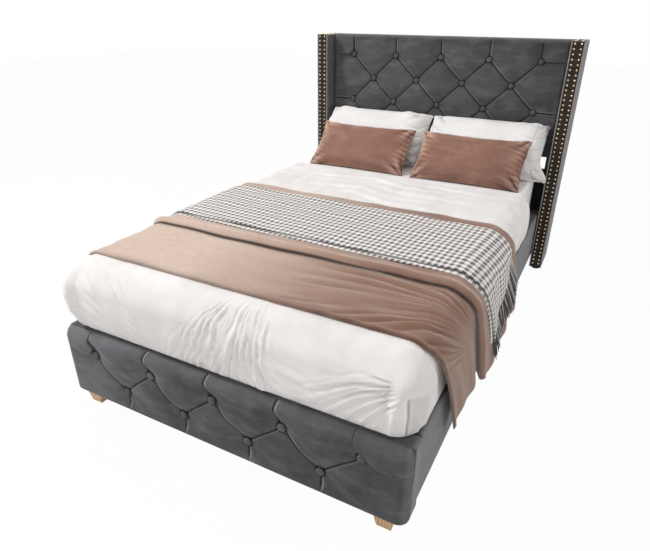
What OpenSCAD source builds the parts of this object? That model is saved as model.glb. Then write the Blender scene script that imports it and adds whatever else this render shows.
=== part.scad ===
// Upholstered wing bed with a tufted headboard and footboard, dressed with its bedding.
// Millimetres, +Z up, +Y from the foot to the head. The origin is on the floor, under the
// middle of the bed.

/* [Mattress] */
// Width of the mattress
mattress_w = 1200; // [1000:10:1600]
// Length of the mattress
mattress_l = 2000; // [1850:10:2100]
// Thickness of the mattress
mattress_t = 248; // [180:2:300]
// Gap between the mattress and each side rail
side_gap = 3; // [1:0.5:8]
// Gap between the mattress and each end of the bed
end_gap = 1.5; // [1:0.5:6]
// How far the mattress sits down between the rails
mattress_sink = 31; // [15:1:60]

/* [Side rails] */
// Thickness of a side rail over its cover
rail_t = 50; // [44:1:70]
// Height of a side rail and of the footboard
rail_h = 261; // [220:1:320]
// Height of the underside of the rails above the floor
floor_gap = 60; // [50:1:120]
// Thickness of the wadding and velvet on a rail
rail_pad_t = 9; // [6:1:12]

/* [Footboard] */
// Thickness of the footboard
footboard_t = 96; // [90:1:130]
// How far the footboard stands out past each rail
footboard_step = 5; // [2:1:12]
// Thickness of the tufted front pad
foot_pad_t = 40; // [34:1:46]
// Radius of the roll along the top and the ends of the footboard
foot_roll_r = 34; // [20:1:34]
// Distance between footboard buttons in a row
foot_button_pitch = 257.5; // [220:0.5:262]
// Height of the upper row of footboard buttons above the floor
foot_button_z = 245; // [220:1:255]
// Height between the two rows of footboard buttons
foot_row_step = 111.5; // [90:0.5:118]
// Depth of a footboard tuft
foot_tuft = 20; // [10:1:24]

/* [Headboard] */
// Height of the headboard above the floor
head_h = 1205; // [1100:5:1400]
// Height of the tufted panel, from its top down
panel_h = 580; // [520:5:600]
// Thickness of the headboard pad at its crown
head_pad_t = 26; // [22:1:40]
// Depth of a headboard tuft
head_tuft = 20; // [10:1:20]
// Distance from the top of the headboard to the upper row of buttons
head_row_top = 105; // [90:1:130]
// Height between rows of headboard buttons
head_row_step = 126.5; // [100:0.5:135]
// Thickness of the board behind the headboard pad
board_t = 12; // [9:1:18]
// Depth of the timber frame behind the board
frame_d = 90; // [60:1:95]
// Thickness of the frame timbers
timber_t = 25; // [20:1:35]
// Height of the open gap between the lower board and the tufted panel
head_gap = 70; // [35:5:85]
// Thickness of the lower board
lower_board_t = 18; // [12:1:22]

/* [Wings] */
// Thickness of a wing
wing_t = 66; // [56:1:80]
// Depth of a wing from front to back
wing_d = 218; // [214:1:260]
// How far the wings reach forward of the headboard pad
wing_reach = 79; // [60:1:82]
// Gap between a side rail and the wing beside it
wing_gap = 6; // [2:1:12]
// Height of the underside of a wing above the floor
wing_floor_gap = 17; // [12:1:30]
// Thickness of the board inside a wing
wing_core_t = 30; // [22:1:34]
// Thickness of the padding at the edges of a wing
wing_pad_t = 16; // [12:1:20]
// Thickness of the dark band on the front and top of a wing
band_t = 2; // [1.5:0.5:3]
// Diameter of the piping beside the band
piping_d = 6; // [4:0.5:8]
// Diameter of a nail head
nail_d = 11.5; // [8:0.5:14]
// Distance between nails in a row
nail_pitch = 23.5; // [18:0.5:30]
// Distance between the two rows of nails
nail_row_gap = 30; // [24:1:34]

/* [Slatted base] */
// Number of slats
slat_count = 14; // [10:1:18]
// Width of a slat
slat_w = 70; // [50:1:80]
// Thickness of a slat
slat_t = 18; // [12:1:25]
// Side of the square ledge that carries the slats
ledge_s = 28; // [20:1:35]
// Width of the centre beam
beam_w = 40; // [30:1:60]
// Height of the centre beam
beam_h = 60; // [40:1:80]
// Diameter of a centre leg
leg_d = 44; // [30:1:60]
// Thickness of the steel brackets
bracket_t = 3; // [2:0.5:5]
// Diameter of the frame bolts
bolt_d = 8; // [6:1:10]

/* [Feet] */
// Width of a wooden foot at its top
foot_top_w = 67; // [50:1:70]
// Width of a wooden foot at the floor
foot_floor_w = 46; // [30:1:60]
// Distance from the end of the footboard to the foot
foot_inset_x = 37; // [20:1:80]
// Distance from the front of the footboard to the foot
foot_inset_y = 16; // [10:1:24]
// Diameter of the glides under the wings
glide_d = 44; // [30:1:50]

/* [Bedding] */
// Thickness of the fitted sheet
sheet_t = 2; // [1:0.5:3]
// Loft of the duvet on top of the mattress
duvet_top_t = 28; // [18:1:45]
// Loft of the duvet beside the mattress
duvet_side_t = 46; // [30:1:48]
// Radius of the duvet along the edges of the bed
duvet_edge_r = 78; // [50:1:90]
// Distance from the front of the bed to the head edge of the duvet
duvet_head_y = 1600; // [1400:5:1600]
// Thickness of the blanket
blanket_t = 5; // [3:0.5:8]
// Thickness of the blanket where it is folded back
blanket_fold_t = 12; // [9:0.5:16]
// Thickness of the folded gingham throw
throw_t = 6; // [4:0.5:9]
// Length of the fringe
fringe_l = 130; // [60:5:140]
// Width of a white pillow
pillow_w = 628; // [560:1:640]
// How far a pillow reaches forward of the headboard
pillow_reach = 300; // [240:5:330]
// Height that the front of a pillow is drawn up to
pillow_rise = 305; // [240:5:320]
// Width of a velvet cushion
cushion_w = 556; // [450:1:580]
// Height of a velvet cushion
cushion_h = 285; // [240:1:300]
// Thickness of a velvet cushion
cushion_t = 92; // [70:1:100]
// Distance from the headboard to the foot of a cushion
cushion_reach = 430; // [430:1:480]

/* [Hidden] */

// Clearance between soft pieces on different bodies
soft_gap = 0.3;
// Clearance of a bolt or a screw in its hole
hole_gap = 0.2;

// Widths, measured from the middle of the bed
inner_x = mattress_w / 2 + side_gap;
rail_x = inner_x + rail_t;
foot_x = rail_x + footboard_step;
pillow_gap = 4;
wing_in_x = max(rail_x + wing_gap, pillow_w + 2 * pillow_gap);
wing_out_x = wing_in_x + wing_t;
wing_mid_x = wing_in_x + wing_t / 2;

// Lengths, measured from the front of the footboard
mattress_y = footboard_t + end_gap;
mattress_end_y = mattress_y + mattress_l;
crown_y = mattress_end_y + end_gap;
board_y = crown_y + head_pad_t;
frame_y = board_y + board_t;
frame_back_y = frame_y + frame_d;
rear_cloth_t = 3;
wing_y = crown_y - wing_reach;
wing_back_y = wing_y + wing_d;
bed_l = wing_back_y;
lower_y = frame_y - lower_board_t;

// Heights above the floor
rail_top = floor_gap + rail_h;
slat_top = rail_top - mattress_sink;
slat_low = slat_top - slat_t;
mattress_top = slat_top + mattress_t;
sheet_top = mattress_top + sheet_t;
panel_z = head_h - panel_h;
lower_board_top = panel_z - head_gap;
frame_top = head_h - 15;

// The duvet stands over the mattress and rests on the tops of the rails
duvet_in_x = mattress_w / 2 + sheet_t + soft_gap;
duvet_x = duvet_in_x + duvet_side_t;
duvet_in_y = mattress_y - sheet_t / 2 - soft_gap;
duvet_y = duvet_in_y - duvet_side_t;
duvet_in_z = sheet_top + soft_gap;
duvet_z = duvet_in_z + duvet_top_t;
duvet_low = rail_top + soft_gap;
edge_arc = duvet_edge_r * PI / 2;
flat_x = duvet_x - duvet_edge_r;
flat_y = duvet_y + duvet_edge_r;

velvet = "#5b5f68";
dark_velvet = "#2c2724";
timber = "#c9a878";
oak = "#c79a5b";
steel = "#8b8f94";
brass = "#b59a62";
cotton = "#eeebe8";
mocha = "#a8826f";
check_grey = "#8f8b8d";
black_cloth = "#1c1c1e";

// Smooth step from 0 to 1
function smooth(t) = let (c = max(0, min(1, t))) c * c * (3 - 2 * c);
function mix(a, b, t) = a + (b - a) * t;
// Point on a cubic curve through its two ends
function bezier(a, b, c, d, t) =
    a * pow(1 - t, 3) + b * 3 * t * pow(1 - t, 2) + c * 3 * t * t * (1 - t) + d * pow(t, 3);
// Values that rise from a to b in even steps no longer than step
function steps(a, b, step) =
    let (n = max(1, ceil((b - a) / step - 0.001))) [for (i = [0:n]) mix(a, b, i / n)];
function drop_last(list) = [for (i = [0:len(list) - 2]) list[i]];

// Places a piece that is measured from the front of the footboard
module in_bed() translate([0, -bed_l / 2, 0]) children();

// Repeats a piece on both sides of the bed
module both_sides() {
    children();
    mirror([1, 0, 0]) children();
}

// Upright box with rounded corners in plan, from corner low to corner high
module round_box(low, high, r) {
    size = high - low;
    translate([low.x + r, low.y + r, low.z])
        linear_extrude(size.z) offset_square(size.x - 2 * r, size.y - 2 * r, r);
}

// Rounded rectangle drawn with true arcs
module offset_square(w, d, r) {
    translate([0, -r]) square([w, d + 2 * r]);
    translate([-r, 0]) square([w + 2 * r, d]);
    for (x = [0, w], y = [0, d]) translate([x, y]) circle(r, $fn = 48);
}

// Box from corner low to corner high
module box(low, high) translate(low) cube(high - low);

// Two triangles of one grid cell. The cut runs along the deeper diagonal, so pleats stay sharp.
function cell(p, a, b, c, d, flip) =
    let (ac = p[a].y + p[c].y >= p[b].y + p[d].y)
    ac ? (flip ? [[a, b, c], [a, c, d]] : [[a, c, b], [a, d, c]])
       : (flip ? [[a, b, d], [b, c, d]] : [[a, d, b], [b, d, c]]);
function flat(lists) = [for (l = lists) each l];

// Closed solid between an outer and an inner grid of points of the same size. The cross
// product of the first and the second direction of the grid points out of the solid.
module two_faced(outer, inner) {
    nu = len(outer) - 1;
    nv = len(outer[0]) - 1;
    m = nv + 1;
    n = (nu + 1) * m;
    points = concat(flat(outer), flat(inner));
    top = [for (i = [0:nu - 1], j = [0:nv - 1])
        each cell(points, i * m + j, i * m + m + j, i * m + m + j + 1, i * m + j + 1, false)];
    under = [for (i = [0:nu - 1], j = [0:nv - 1]) let (a = n + i * m + j)
        each cell(points, a, a + m, a + m + 1, a + 1, true)];
    rim_v = [for (i = [0:nu - 1]) let (a = i * m, b = a + m, d = a + nv, c = b + nv)
        each [[a, b, n + b], [a, n + b, n + a], [c, d, n + d], [c, n + d, n + c]]];
    rim_u = [for (j = [0:nv - 1]) let (a = j, d = j + 1, b = nu * m + j, c = b + 1)
        each [[d, a, n + a], [d, n + a, n + d], [b, c, n + c], [b, n + c, n + b]]];
    polyhedron(points, concat(top, under, rim_v, rim_u), convexity = 6);
}

// Closed solid between a grid of points and its shadow on the plane at depth y
module flat_backed(outer, y) {
    nu = len(outer) - 1;
    nv = len(outer[0]) - 1;
    m = nv + 1;
    n = (nu + 1) * m;
    border = concat([for (i = [0:nu - 1]) i * m], [for (j = [0:nv - 1]) nu * m + j],
        [for (i = [nu:-1:1]) i * m + nv], [for (j = [nv:-1:1]) j]);
    count = len(border);
    front = flat(outer);
    shadow = [for (k = border) [front[k].x, y, front[k].z]];
    middle = [0, y, (front[0].z + front[nv].z) / 2];
    points = concat(front, shadow, [middle]);
    top = [for (i = [0:nu - 1], j = [0:nv - 1])
        each cell(points, i * m + j, i * m + m + j, i * m + m + j + 1, i * m + j + 1, false)];
    rim = [for (k = [0:count - 1]) let (a = border[k], b = border[(k + 1) % count],
        p = n + k, q = n + (k + 1) % count)
        each [[a, b, q], [a, q, p], [p, q, n + count]]];
    polyhedron(points, concat(top, rim), convexity = 6);
}

// Depth of diamond tufting below the crown, as a share of the full depth. The buttons stand
// at whole numbers of p and q, and the pleats run along the lines between them.
function diamond(p, q) = let (s = abs(sin(180 * p) * sin(180 * q))) 1 - pow(s, 0.4);
function pleat(x) = 0.62 * (1 - pow(abs(sin(180 * x)), 0.4));
// Tufting at x and z, with buttons every pitch across in rows a step apart. Between the
// first and the last row it is diamonds, and past them the pleats run straight on.
function tufting(x, z, pitch, step, z_top, z_low, half, low_shift) =
    let (c = x / pitch, r = (z_top - z) / step,
        inside = diamond(c + r / 2, c - r / 2),
        above = pleat(c), below = pleat(c + low_shift),
        button = min([for (k = [0:round((z_top - z_low) / step)])
            let (shift = (k % 2) / 2, b = round(c + shift) - shift,
                bx = max(-half + shift, min(half - shift, b)))
            norm([x - bx * pitch, z - z_top + k * step])]),
        deep = 0.55 * exp(-pow(button / (0.16 * pitch), 2)))
    min(1, (z > z_top ? above : z < z_low ? below : 0.62 * inside) * (abs(c) > half ? 0.15 : 1) + deep);

// Positions of the buttons of a tufted panel, as pairs of x and z
function button_places(pitch, step, z_top, rows) =
    [for (k = [0:rows - 1], i = [0:4 - k % 2]) [(i - 2 + (k % 2) / 2) * pitch, z_top - k * step]];

// Covered button, seen from the front, with its back on the pad
module button(d, h) {
    rotate([90, 0, 0]) rotate_extrude($fn = 32)
        polygon([[0, 0], [d * 0.12, 0], [d * 0.12, h * 0.35], [d / 2, h * 0.35], [d / 2, h * 0.55],
            [d * 0.4, h * 0.82], [d * 0.22, h * 0.96], [0, h]]);
}

// Pocket in a pad that a button is pulled into
module button_seat(depth) rotate([90, 0, 0]) cylinder(h = depth + button_h, d = button_d + 2 * hole_gap, $fn = 32);

// Headboard

head_pitch = 2 * wing_in_x / 5;
head_button_z = head_h - head_row_top;
head_rows = floor((head_button_z - panel_z - 40) / head_row_step) + 1;
head_low_z = head_button_z - (head_rows - 1) * head_row_step;
head_roll_r = head_pad_t - 3;
head_buttons = button_places(head_pitch, head_row_step, head_button_z, head_rows);
button_d = 28;
button_h = 11;

function head_depth(x, z) =
    let (edge = smooth((z - panel_z) / 40) * smooth((wing_in_x - abs(x)) / 30),
        rise = smooth((head_h - head_roll_r - z) / 60 + 0.3))
    head_tuft * (edge * rise * tufting(x, z, head_pitch, head_row_step, head_button_z, head_low_z, 2, 0)
        + 0.35 * (1 - smooth((z - panel_z) / 40)));

module headboard_pad() color(velvet) in_bed() {
    cell_z = head_row_step / 3;
    face = concat(drop_last(steps(panel_z, head_low_z, cell_z)),
        drop_last(steps(head_low_z, head_button_z, cell_z)),
        steps(head_button_z, head_h - head_roll_r, cell_z));
    outer = [for (x = [for (i = [-15:15]) i * wing_in_x / 15]) concat(
        [for (z = face) [x, crown_y + head_depth(x, z), z]],
        [for (a = [30:30:90])
            [x, crown_y + head_roll_r * (1 - cos(a)), head_h - head_roll_r * (1 - sin(a))]])];
    difference() {
        flat_backed(outer, board_y);
        for (p = head_buttons) translate([p.x, crown_y + head_depth(p.x, p.y), p.y]) button_seat(head_tuft);
    }
}

module headboard_top_band() color(velvet) in_bed()
    box([-wing_in_x, board_y, frame_top], [wing_in_x, frame_back_y + rear_cloth_t, head_h]);

module headboard_buttons() color(velvet) in_bed()
    for (p = head_buttons) translate([p.x, crown_y + head_depth(p.x, p.y), p.y]) button(button_d, button_h);

module headboard_back_board() color(timber) in_bed()
    box([-wing_in_x, board_y, panel_z], [wing_in_x, frame_y, frame_top]);

module headboard_top_rail() color(timber) in_bed()
    box([-wing_in_x, frame_y, frame_top - timber_t], [wing_in_x, frame_back_y, frame_top]);

module headboard_bottom_rail() color(timber) in_bed()
    box([timber_t - wing_in_x, frame_y, panel_z], [wing_in_x - timber_t, frame_back_y, panel_z + timber_t]);

module headboard_stiles() color(timber) in_bed() {
    both_sides()
        box([wing_in_x - timber_t, frame_y, floor_gap], [wing_in_x, frame_back_y, frame_top - timber_t]);
    box([-timber_t / 2, frame_y, panel_z + timber_t], [timber_t / 2, frame_back_y, frame_top - timber_t]);
}

module headboard_rear_cloth() color(black_cloth) in_bed()
    box([-wing_in_x, frame_back_y, panel_z], [wing_in_x, frame_back_y + rear_cloth_t, frame_top]);

module headboard_lower_board() color(black_cloth) in_bed() difference() {
    box([-wing_in_x, lower_y, floor_gap], [wing_in_x, frame_y, lower_board_top]);
    head_bolt_holes();
}

// Wings, drawn for the right side

wing_low = wing_floor_gap;
wing_top = head_h - band_t;
wing_front = wing_y + band_t;
wing_corner_r = 5;
seam_w = 1;

module wing_board() box([wing_mid_x - wing_core_t / 2, wing_front + wing_pad_t, wing_low + wing_pad_t],
    [wing_mid_x + wing_core_t / 2, wing_back_y - wing_pad_t, wing_top - wing_pad_t]);

module wing_cover() difference() {
    round_box([wing_in_x, wing_front, wing_low], [wing_out_x, wing_back_y, wing_top], wing_corner_r);
    wing_board();
    for (x = [wing_in_x, wing_out_x - piping_d]) {
        x0 = x - seam_w;
        x1 = x + piping_d + seam_w;
        box([x0, wing_y, wing_low - 1], [x1, wing_y + piping_d, head_h]);
        box([x0, wing_y, head_h - piping_d], [x1, wing_back_y + 1, head_h]);
    }
}

module wing_band() {
    x0 = wing_in_x + piping_d + seam_w;
    x1 = wing_out_x - piping_d - seam_w;
    box([x0, wing_y, wing_low], [x1, wing_front, wing_top]);
    box([x0, wing_y, wing_top], [x1, wing_back_y, head_h]);
}

module wing_piping() for (x = [wing_in_x + piping_d / 2, wing_out_x - piping_d / 2]) {
    r = piping_d / 2;
    translate([x, wing_y + r, wing_low]) cylinder(h = head_h - r - wing_low, r = r, $fn = 24);
    translate([x, wing_y + r, head_h - r]) sphere(r = r, $fn = 24);
    translate([x, wing_y + r, head_h - r]) rotate([-90, 0, 0]) cylinder(h = wing_d - r, r = r, $fn = 24);
}

// Nail head that stands up along +Z and narrows towards its top
module nail() cylinder(h = nail_d * 0.28, d1 = nail_d, d2 = nail_d * 0.5, $fn = 16);

module wing_nails() {
    rows = [wing_mid_x - nail_row_gap / 2, wing_mid_x + nail_row_gap / 2];
    front_n = floor((head_h - wing_low - 1.2 * nail_d) / nail_pitch);
    top_n = floor((wing_d - 1.2 * nail_d) / nail_pitch);
    for (x = rows) {
        for (i = [0:front_n])
            translate([x, wing_y, head_h - nail_d - i * nail_pitch]) rotate([90, 0, 0]) nail();
        for (i = [0:top_n]) translate([x, wing_y + nail_d + i * nail_pitch, head_h]) nail();
    }
}

module left() mirror([1, 0, 0]) children();

module wing_board_left() color(timber) in_bed() left() wing_board();
module wing_board_right() color(timber) in_bed() wing_board();
module wing_cover_left() color(velvet) in_bed() left() wing_cover();
module wing_cover_right() color(velvet) in_bed() wing_cover();
module wing_band_left() color(dark_velvet) in_bed() left() wing_band();
module wing_band_right() color(dark_velvet) in_bed() wing_band();
module wing_piping_left() color(velvet) in_bed() left() wing_piping();
module wing_piping_right() color(velvet) in_bed() wing_piping();
module wing_nails_left() color(brass) in_bed() left() wing_nails();
module wing_nails_right() color(brass) in_bed() wing_nails();

module wing_glides() color(black_cloth) in_bed() both_sides()
    for (y = [wing_y + wing_d * 0.2, wing_y + wing_d * 0.8])
        translate([wing_mid_x, y, 0]) cylinder(h = wing_low, d = glide_d, $fn = 48);

// Footboard

foot_button_low = foot_button_z - foot_row_step;
foot_buttons = button_places(foot_button_pitch, foot_row_step, foot_button_z, 2);
foot_face_x = foot_x - foot_roll_r;
under_cloth_t = 3;

function foot_depth(x, z) =
    let (edge = smooth((foot_face_x - abs(x)) / 40), low = smooth((z - floor_gap) / 30 + 0.3),
        high = smooth((rail_top - foot_roll_r - z) / 30 + 0.4))
    foot_tuft * edge * low * high
        * tufting(x, z, foot_button_pitch, foot_row_step, foot_button_z, foot_button_low, 2, 0.5);

// The pad rolls round the ends and over the top of the footboard
module footboard_pad() color(velvet) in_bed() {
    r = foot_roll_r;
    half = floor(foot_face_x / (foot_button_pitch / 6) - 0.2);
    columns = concat([for (a = [0:30:60]) [-foot_face_x - r * cos(a), r - r * sin(a)]],
        [[-foot_face_x, 0]], [for (i = [-half:half]) [i * foot_button_pitch / 6, 0]], [[foot_face_x, 0]],
        [for (a = [60:-30:0]) [foot_face_x + r * cos(a), r - r * sin(a)]]);
    cell_z = foot_row_step / 3;
    face = concat(drop_last(steps(floor_gap, foot_button_low, cell_z)),
        drop_last(steps(foot_button_low, foot_button_z, cell_z)),
        steps(foot_button_z, rail_top - r, cell_z));
    outer = [for (c = columns) concat(
        [for (z = face) [c.x, c.y + foot_depth(c.x, z), z]],
        [for (a = [30:30:90]) let (inset = r * (1 - cos(a)), z = rail_top - r * (1 - sin(a)))
            [c.x - sign(c.x) * max(0, (abs(c.x) - foot_face_x)) / r * inset,
                c.y + (r - c.y) / r * inset, z]])];
    difference() {
        flat_backed(outer, foot_pad_t);
        for (p = foot_buttons) translate([p.x, foot_depth(p.x, p.y), p.y]) button_seat(foot_tuft);
    }
}

module footboard_buttons() color(velvet) in_bed()
    for (p = foot_buttons) translate([p.x, foot_depth(p.x, p.y), p.y]) button(button_d, button_h);

module footboard_core() box([rail_pad_t - foot_x, foot_pad_t, floor_gap + under_cloth_t],
    [foot_x - rail_pad_t, footboard_t - rail_pad_t, rail_top - rail_pad_t]);

module footboard_board() color(timber) in_bed() difference() {
    footboard_core();
    foot_bolt_holes();
    both_sides() foot_bolt_hole();
}

module footboard_cover() color(velvet) in_bed() difference() {
    box([-foot_x, foot_pad_t, floor_gap], [foot_x, footboard_t, rail_top]);
    footboard_core();
    foot_bolt_holes();
    both_sides() foot_bolt_hole();
}

// Side rails, drawn for the right side

rail_y = footboard_t;
rail_end_y = lower_y;
rail_corner_r = 8;

module rail_board() difference() {
    box([inner_x + rail_pad_t, rail_y, floor_gap + rail_pad_t],
        [rail_x - rail_pad_t, rail_end_y, rail_top - rail_pad_t]);
    rail_bolt_holes();
}

module rail_cover() difference() {
    r = rail_corner_r;
    translate([0, rail_end_y, 0]) rotate([90, 0, 0]) linear_extrude(rail_end_y - rail_y)
        translate([inner_x + r, floor_gap + r]) offset_square(rail_t - 2 * r, rail_h - 2 * r, r);
    box([inner_x + rail_pad_t, rail_y - 1, floor_gap + rail_pad_t],
        [rail_x - rail_pad_t, rail_end_y + 1, rail_top - rail_pad_t]);
    rail_bolt_holes();
}

module rail_board_left() color(timber) in_bed() left() rail_board();
module rail_board_right() color(timber) in_bed() rail_board();
module rail_cover_left() color(velvet) in_bed() left() rail_cover();
module rail_cover_right() color(velvet) in_bed() rail_cover();

module slat_ledge() box([inner_x - ledge_s, rail_y + bracket_leg, slat_low - ledge_s],
    [inner_x, rail_end_y - bracket_leg, slat_low]);
module slat_ledge_left() color(timber) in_bed() left() slat_ledge();
module slat_ledge_right() color(timber) in_bed() slat_ledge();

// Corner brackets and their bolts

bracket_leg = 70;
bracket_h = 110;
bracket_z = floor_gap + 60;
bolt_l = 28;
bolt_head_d = bolt_d * 1.6;
bolt_head_h = bolt_d * 0.6;
bolt_edge = 25;
bolt_rows = [bracket_z + bolt_edge, bracket_z + bracket_h - bolt_edge];
bolt_out = bracket_leg - bolt_edge;

module corner_bracket(y, turn) translate([inner_x, y, bracket_z]) mirror([0, turn, 0]) difference() {
    union() {
        translate([-bracket_t, 0, 0]) cube([bracket_t, bracket_leg, bracket_h]);
        translate([-bracket_leg, 0, 0]) cube([bracket_leg, bracket_t, bracket_h]);
    }
    for (z = bolt_rows) translate([0, bolt_out, z - bracket_z]) rotate([0, 90, 0])
        cylinder(h = 4 * bracket_t, d = bolt_d + 2 * hole_gap, center = true, $fn = 32);
    for (z = bolt_rows) translate([-bolt_out, 0, z - bracket_z]) rotate([90, 0, 0])
        cylinder(h = 4 * bracket_t, d = bolt_d + 2 * hole_gap, center = true, $fn = 32);
}

module corner_brackets() color(steel) in_bed() both_sides() {
    corner_bracket(rail_y, 0);
    corner_bracket(rail_end_y, 1);
}

// Bolt with its head on the plane z = 0 and its shank running down
module bolt(l) {
    cylinder(h = bolt_head_h, d = bolt_head_d, $fn = 6);
    translate([0, 0, -l]) cylinder(h = l, d = bolt_d, $fn = 32);
}

module bracket_bolts() color(steel) in_bed() both_sides() for (z = bolt_rows) {
    for (y = [rail_y + bolt_out, rail_end_y - bolt_out])
        translate([inner_x - bracket_t, y, z]) rotate([0, -90, 0]) bolt(bolt_l);
    translate([inner_x - bolt_out, rail_y + bracket_t, z]) rotate([-90, 0, 0]) bolt(bolt_l);
    translate([inner_x - bolt_out, rail_end_y - bracket_t, z])
        rotate([90, 0, 0]) bolt(lower_board_t + bracket_t);
}

module bolt_hole(l) cylinder(h = 2 * l, d = bolt_d + 2 * hole_gap, center = true, $fn = 32);
module rail_bolt_holes() for (z = bolt_rows, y = [rail_y + bolt_out, rail_end_y - bolt_out])
    translate([inner_x, y, z]) rotate([0, 90, 0]) bolt_hole(bolt_l);
module foot_bolt_holes() both_sides() for (z = bolt_rows)
    translate([inner_x - bolt_out, rail_y, z]) rotate([90, 0, 0]) bolt_hole(bolt_l);
module head_bolt_holes() both_sides() for (z = bolt_rows)
    translate([inner_x - bolt_out, rail_end_y, z]) rotate([90, 0, 0]) bolt_hole(lower_board_t + 2);

// Wooden feet under the footboard

foot_mid_x = foot_x - foot_inset_x - foot_top_w / 2;
foot_mid_y = foot_inset_y + foot_top_w / 2;
foot_bolt_y = mix(foot_pad_t, footboard_t - rail_pad_t, 0.5);
foot_bolt_d = 10;
foot_bolt_l = 45;
foot_bolt_low = 18;

// Block that narrows from the top to the floor, seen from the front
module taper(depth) rotate([90, 0, 0]) linear_extrude(depth, center = true)
    polygon([[-foot_floor_w / 2, 0], [foot_floor_w / 2, 0],
        [foot_top_w / 2, floor_gap], [-foot_top_w / 2, floor_gap]]);

module front_feet() color(oak) in_bed() both_sides() difference() {
    translate([foot_mid_x, foot_mid_y, 0]) intersection() {
        taper(2 * foot_top_w);
        rotate([0, 0, 90]) taper(2 * foot_top_w);
    }
    foot_bolt_hole();
}

// Hanger bolt that joins a foot to the footboard, or its hole with a gap all round
module foot_pin(gap) translate([foot_mid_x, foot_bolt_y, floor_gap - foot_bolt_low - gap])
    cylinder(h = foot_bolt_low + foot_bolt_l + 2 * gap, d = foot_bolt_d + 2 * gap, $fn = 32);
module foot_bolt_hole() foot_pin(hole_gap);

module foot_bolts() color(steel) in_bed() both_sides() foot_pin(0);

// Slatted base

beam_y = footboard_t + bracket_t;
beam_end_y = lower_y - bracket_t;
leg_rows = [mix(mattress_y, mattress_end_y, 0.33), mix(mattress_y, mattress_end_y, 0.67)];
leg_glide_h = 12;
saddle_l = 45;
saddle_ear = 25;
saddle_drop = 6;
slat_end_gap = 12;
slat_first = mattress_y + slat_w / 2 + slat_end_gap;
slat_last = mattress_end_y - slat_w / 2 - slat_end_gap;
slat_side_gap = 2;
slat_l = 2 * (inner_x - slat_side_gap);
function slat_y(i) = mix(slat_first, slat_last, i / (slat_count - 1));

module centre_beam() color(timber) in_bed()
    box([-beam_w / 2, beam_y, slat_low - beam_h], [beam_w / 2, beam_end_y, slat_low]);

// U-shaped saddle on the end boards that the beam drops into
module beam_saddle(y, turn) translate([0, y, slat_low - beam_h]) mirror([0, turn, 0]) {
    wall = bracket_t;
    side = beam_w / 2;
    high = beam_h - saddle_drop;
    box([-side - saddle_ear, 0, -wall], [side + saddle_ear, wall, high]);
    box([-side - wall, wall, -wall], [side + wall, saddle_l, 0]);
    for (x = [-side - wall, side]) box([x, wall, 0], [x + wall, saddle_l, high]);
}

module beam_brackets() color(steel) in_bed() {
    beam_saddle(footboard_t, 0);
    beam_saddle(lower_y, 1);
}

module centre_legs() color(timber) in_bed() for (y = leg_rows)
    translate([0, y, leg_glide_h]) cylinder(h = slat_low - beam_h - leg_glide_h, d = leg_d, $fn = 48);

module centre_leg_glides() color(black_cloth) in_bed() for (y = leg_rows)
    translate([0, y, 0]) cylinder(h = leg_glide_h, d = leg_d - 6, $fn = 48);

module slats() color(timber) in_bed() for (i = [0:slat_count - 1]) difference() {
    translate([-slat_l / 2, slat_y(i) - slat_w / 2, slat_low]) cube([slat_l, slat_w, slat_t]);
    both_sides() translate([inner_x - ledge_s / 2, slat_y(i), slat_low]) slat_screw(hole_gap);
}

// Countersunk screw through a slat into the ledge below it
screw_d = 4;
screw_head_d = 9;
screw_head_h = 3;
module slat_screw(gap) {
    shank = screw_d + 2 * gap;
    translate([0, 0, slat_t / 2]) cylinder(h = slat_t + 2 * gap, d = shank, center = true, $fn = 16);
    translate([0, 0, slat_t - screw_head_h])
        cylinder(h = screw_head_h + gap, d1 = shank, d2 = screw_head_d + 2 * gap, $fn = 16);
}

module slat_screws() color(steel) in_bed() both_sides() for (i = [0:slat_count - 1])
    translate([inner_x - ledge_s / 2, slat_y(i), slat_low]) slat_screw(0);

// Mattress and bedding

mattress_corner_r = 40;
sheet_hem = 60;
module mattress_block() round_box([-mattress_w / 2, mattress_y, slat_top],
    [mattress_w / 2, mattress_end_y, mattress_top], mattress_corner_r);

module mattress() color(cotton) in_bed() mattress_block();

module fitted_sheet() color(cotton) in_bed() difference() {
    round_box([-mattress_w / 2 - sheet_t, mattress_y - sheet_t / 2, slat_top + sheet_hem],
        [mattress_w / 2 + sheet_t, mattress_end_y + sheet_t / 2, sheet_top], mattress_corner_r);
    mattress_block();
}

// Point of a cover laid over the bed, at s across and t along the flat cloth, lifted by h.
// Past the flat top it rolls over the edge and hangs down, and round the foot corners it
// turns with the corner. Extra is a further push outwards.
function laid(s, t, h, extra = 0) =
    let (dx = max(0, abs(s) - flat_x), dy = max(0, flat_y - t), r = max(dx, dy),
        turn = r == 0 ? 0 : dx >= dy ? 45 * dy / dx : 90 - 45 * dx / dy,
        a = min(r / duvet_edge_r * 180 / PI, 90),
        out = (duvet_edge_r + h) * sin(a) + extra,
        z = duvet_z - duvet_edge_r + (duvet_edge_r + h) * cos(a) - max(0, r - edge_arc))
    [sign(s) * (min(abs(s), flat_x) + (r == 0 ? 0 : out * cos(turn))),
        max(t, flat_y) - (r == 0 ? 0 : out * sin(turn)), z];

// Point on the inside of the duvet under the same place of the flat cloth. It runs out
// along the top of the mattress to its edge, and then straight down.
function lining(s, t) =
    let (dx = max(0, abs(s) - flat_x), dy = max(0, flat_y - t), r = max(dx, dy), f = r / edge_arc,
        out = r == 0 ? 0 : min(1, 2 * f) / r, low = duvet_z - duvet_edge_r)
    [sign(s) * (min(abs(s), flat_x) + (duvet_in_x - flat_x) * out * dx),
        max(t, flat_y) - (flat_y - duvet_in_y) * out * dy,
        f <= 0.5 ? duvet_in_z : f <= 1 ? mix(duvet_in_z, low, 2 * f - 1) : low - (r - edge_arc)];

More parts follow.
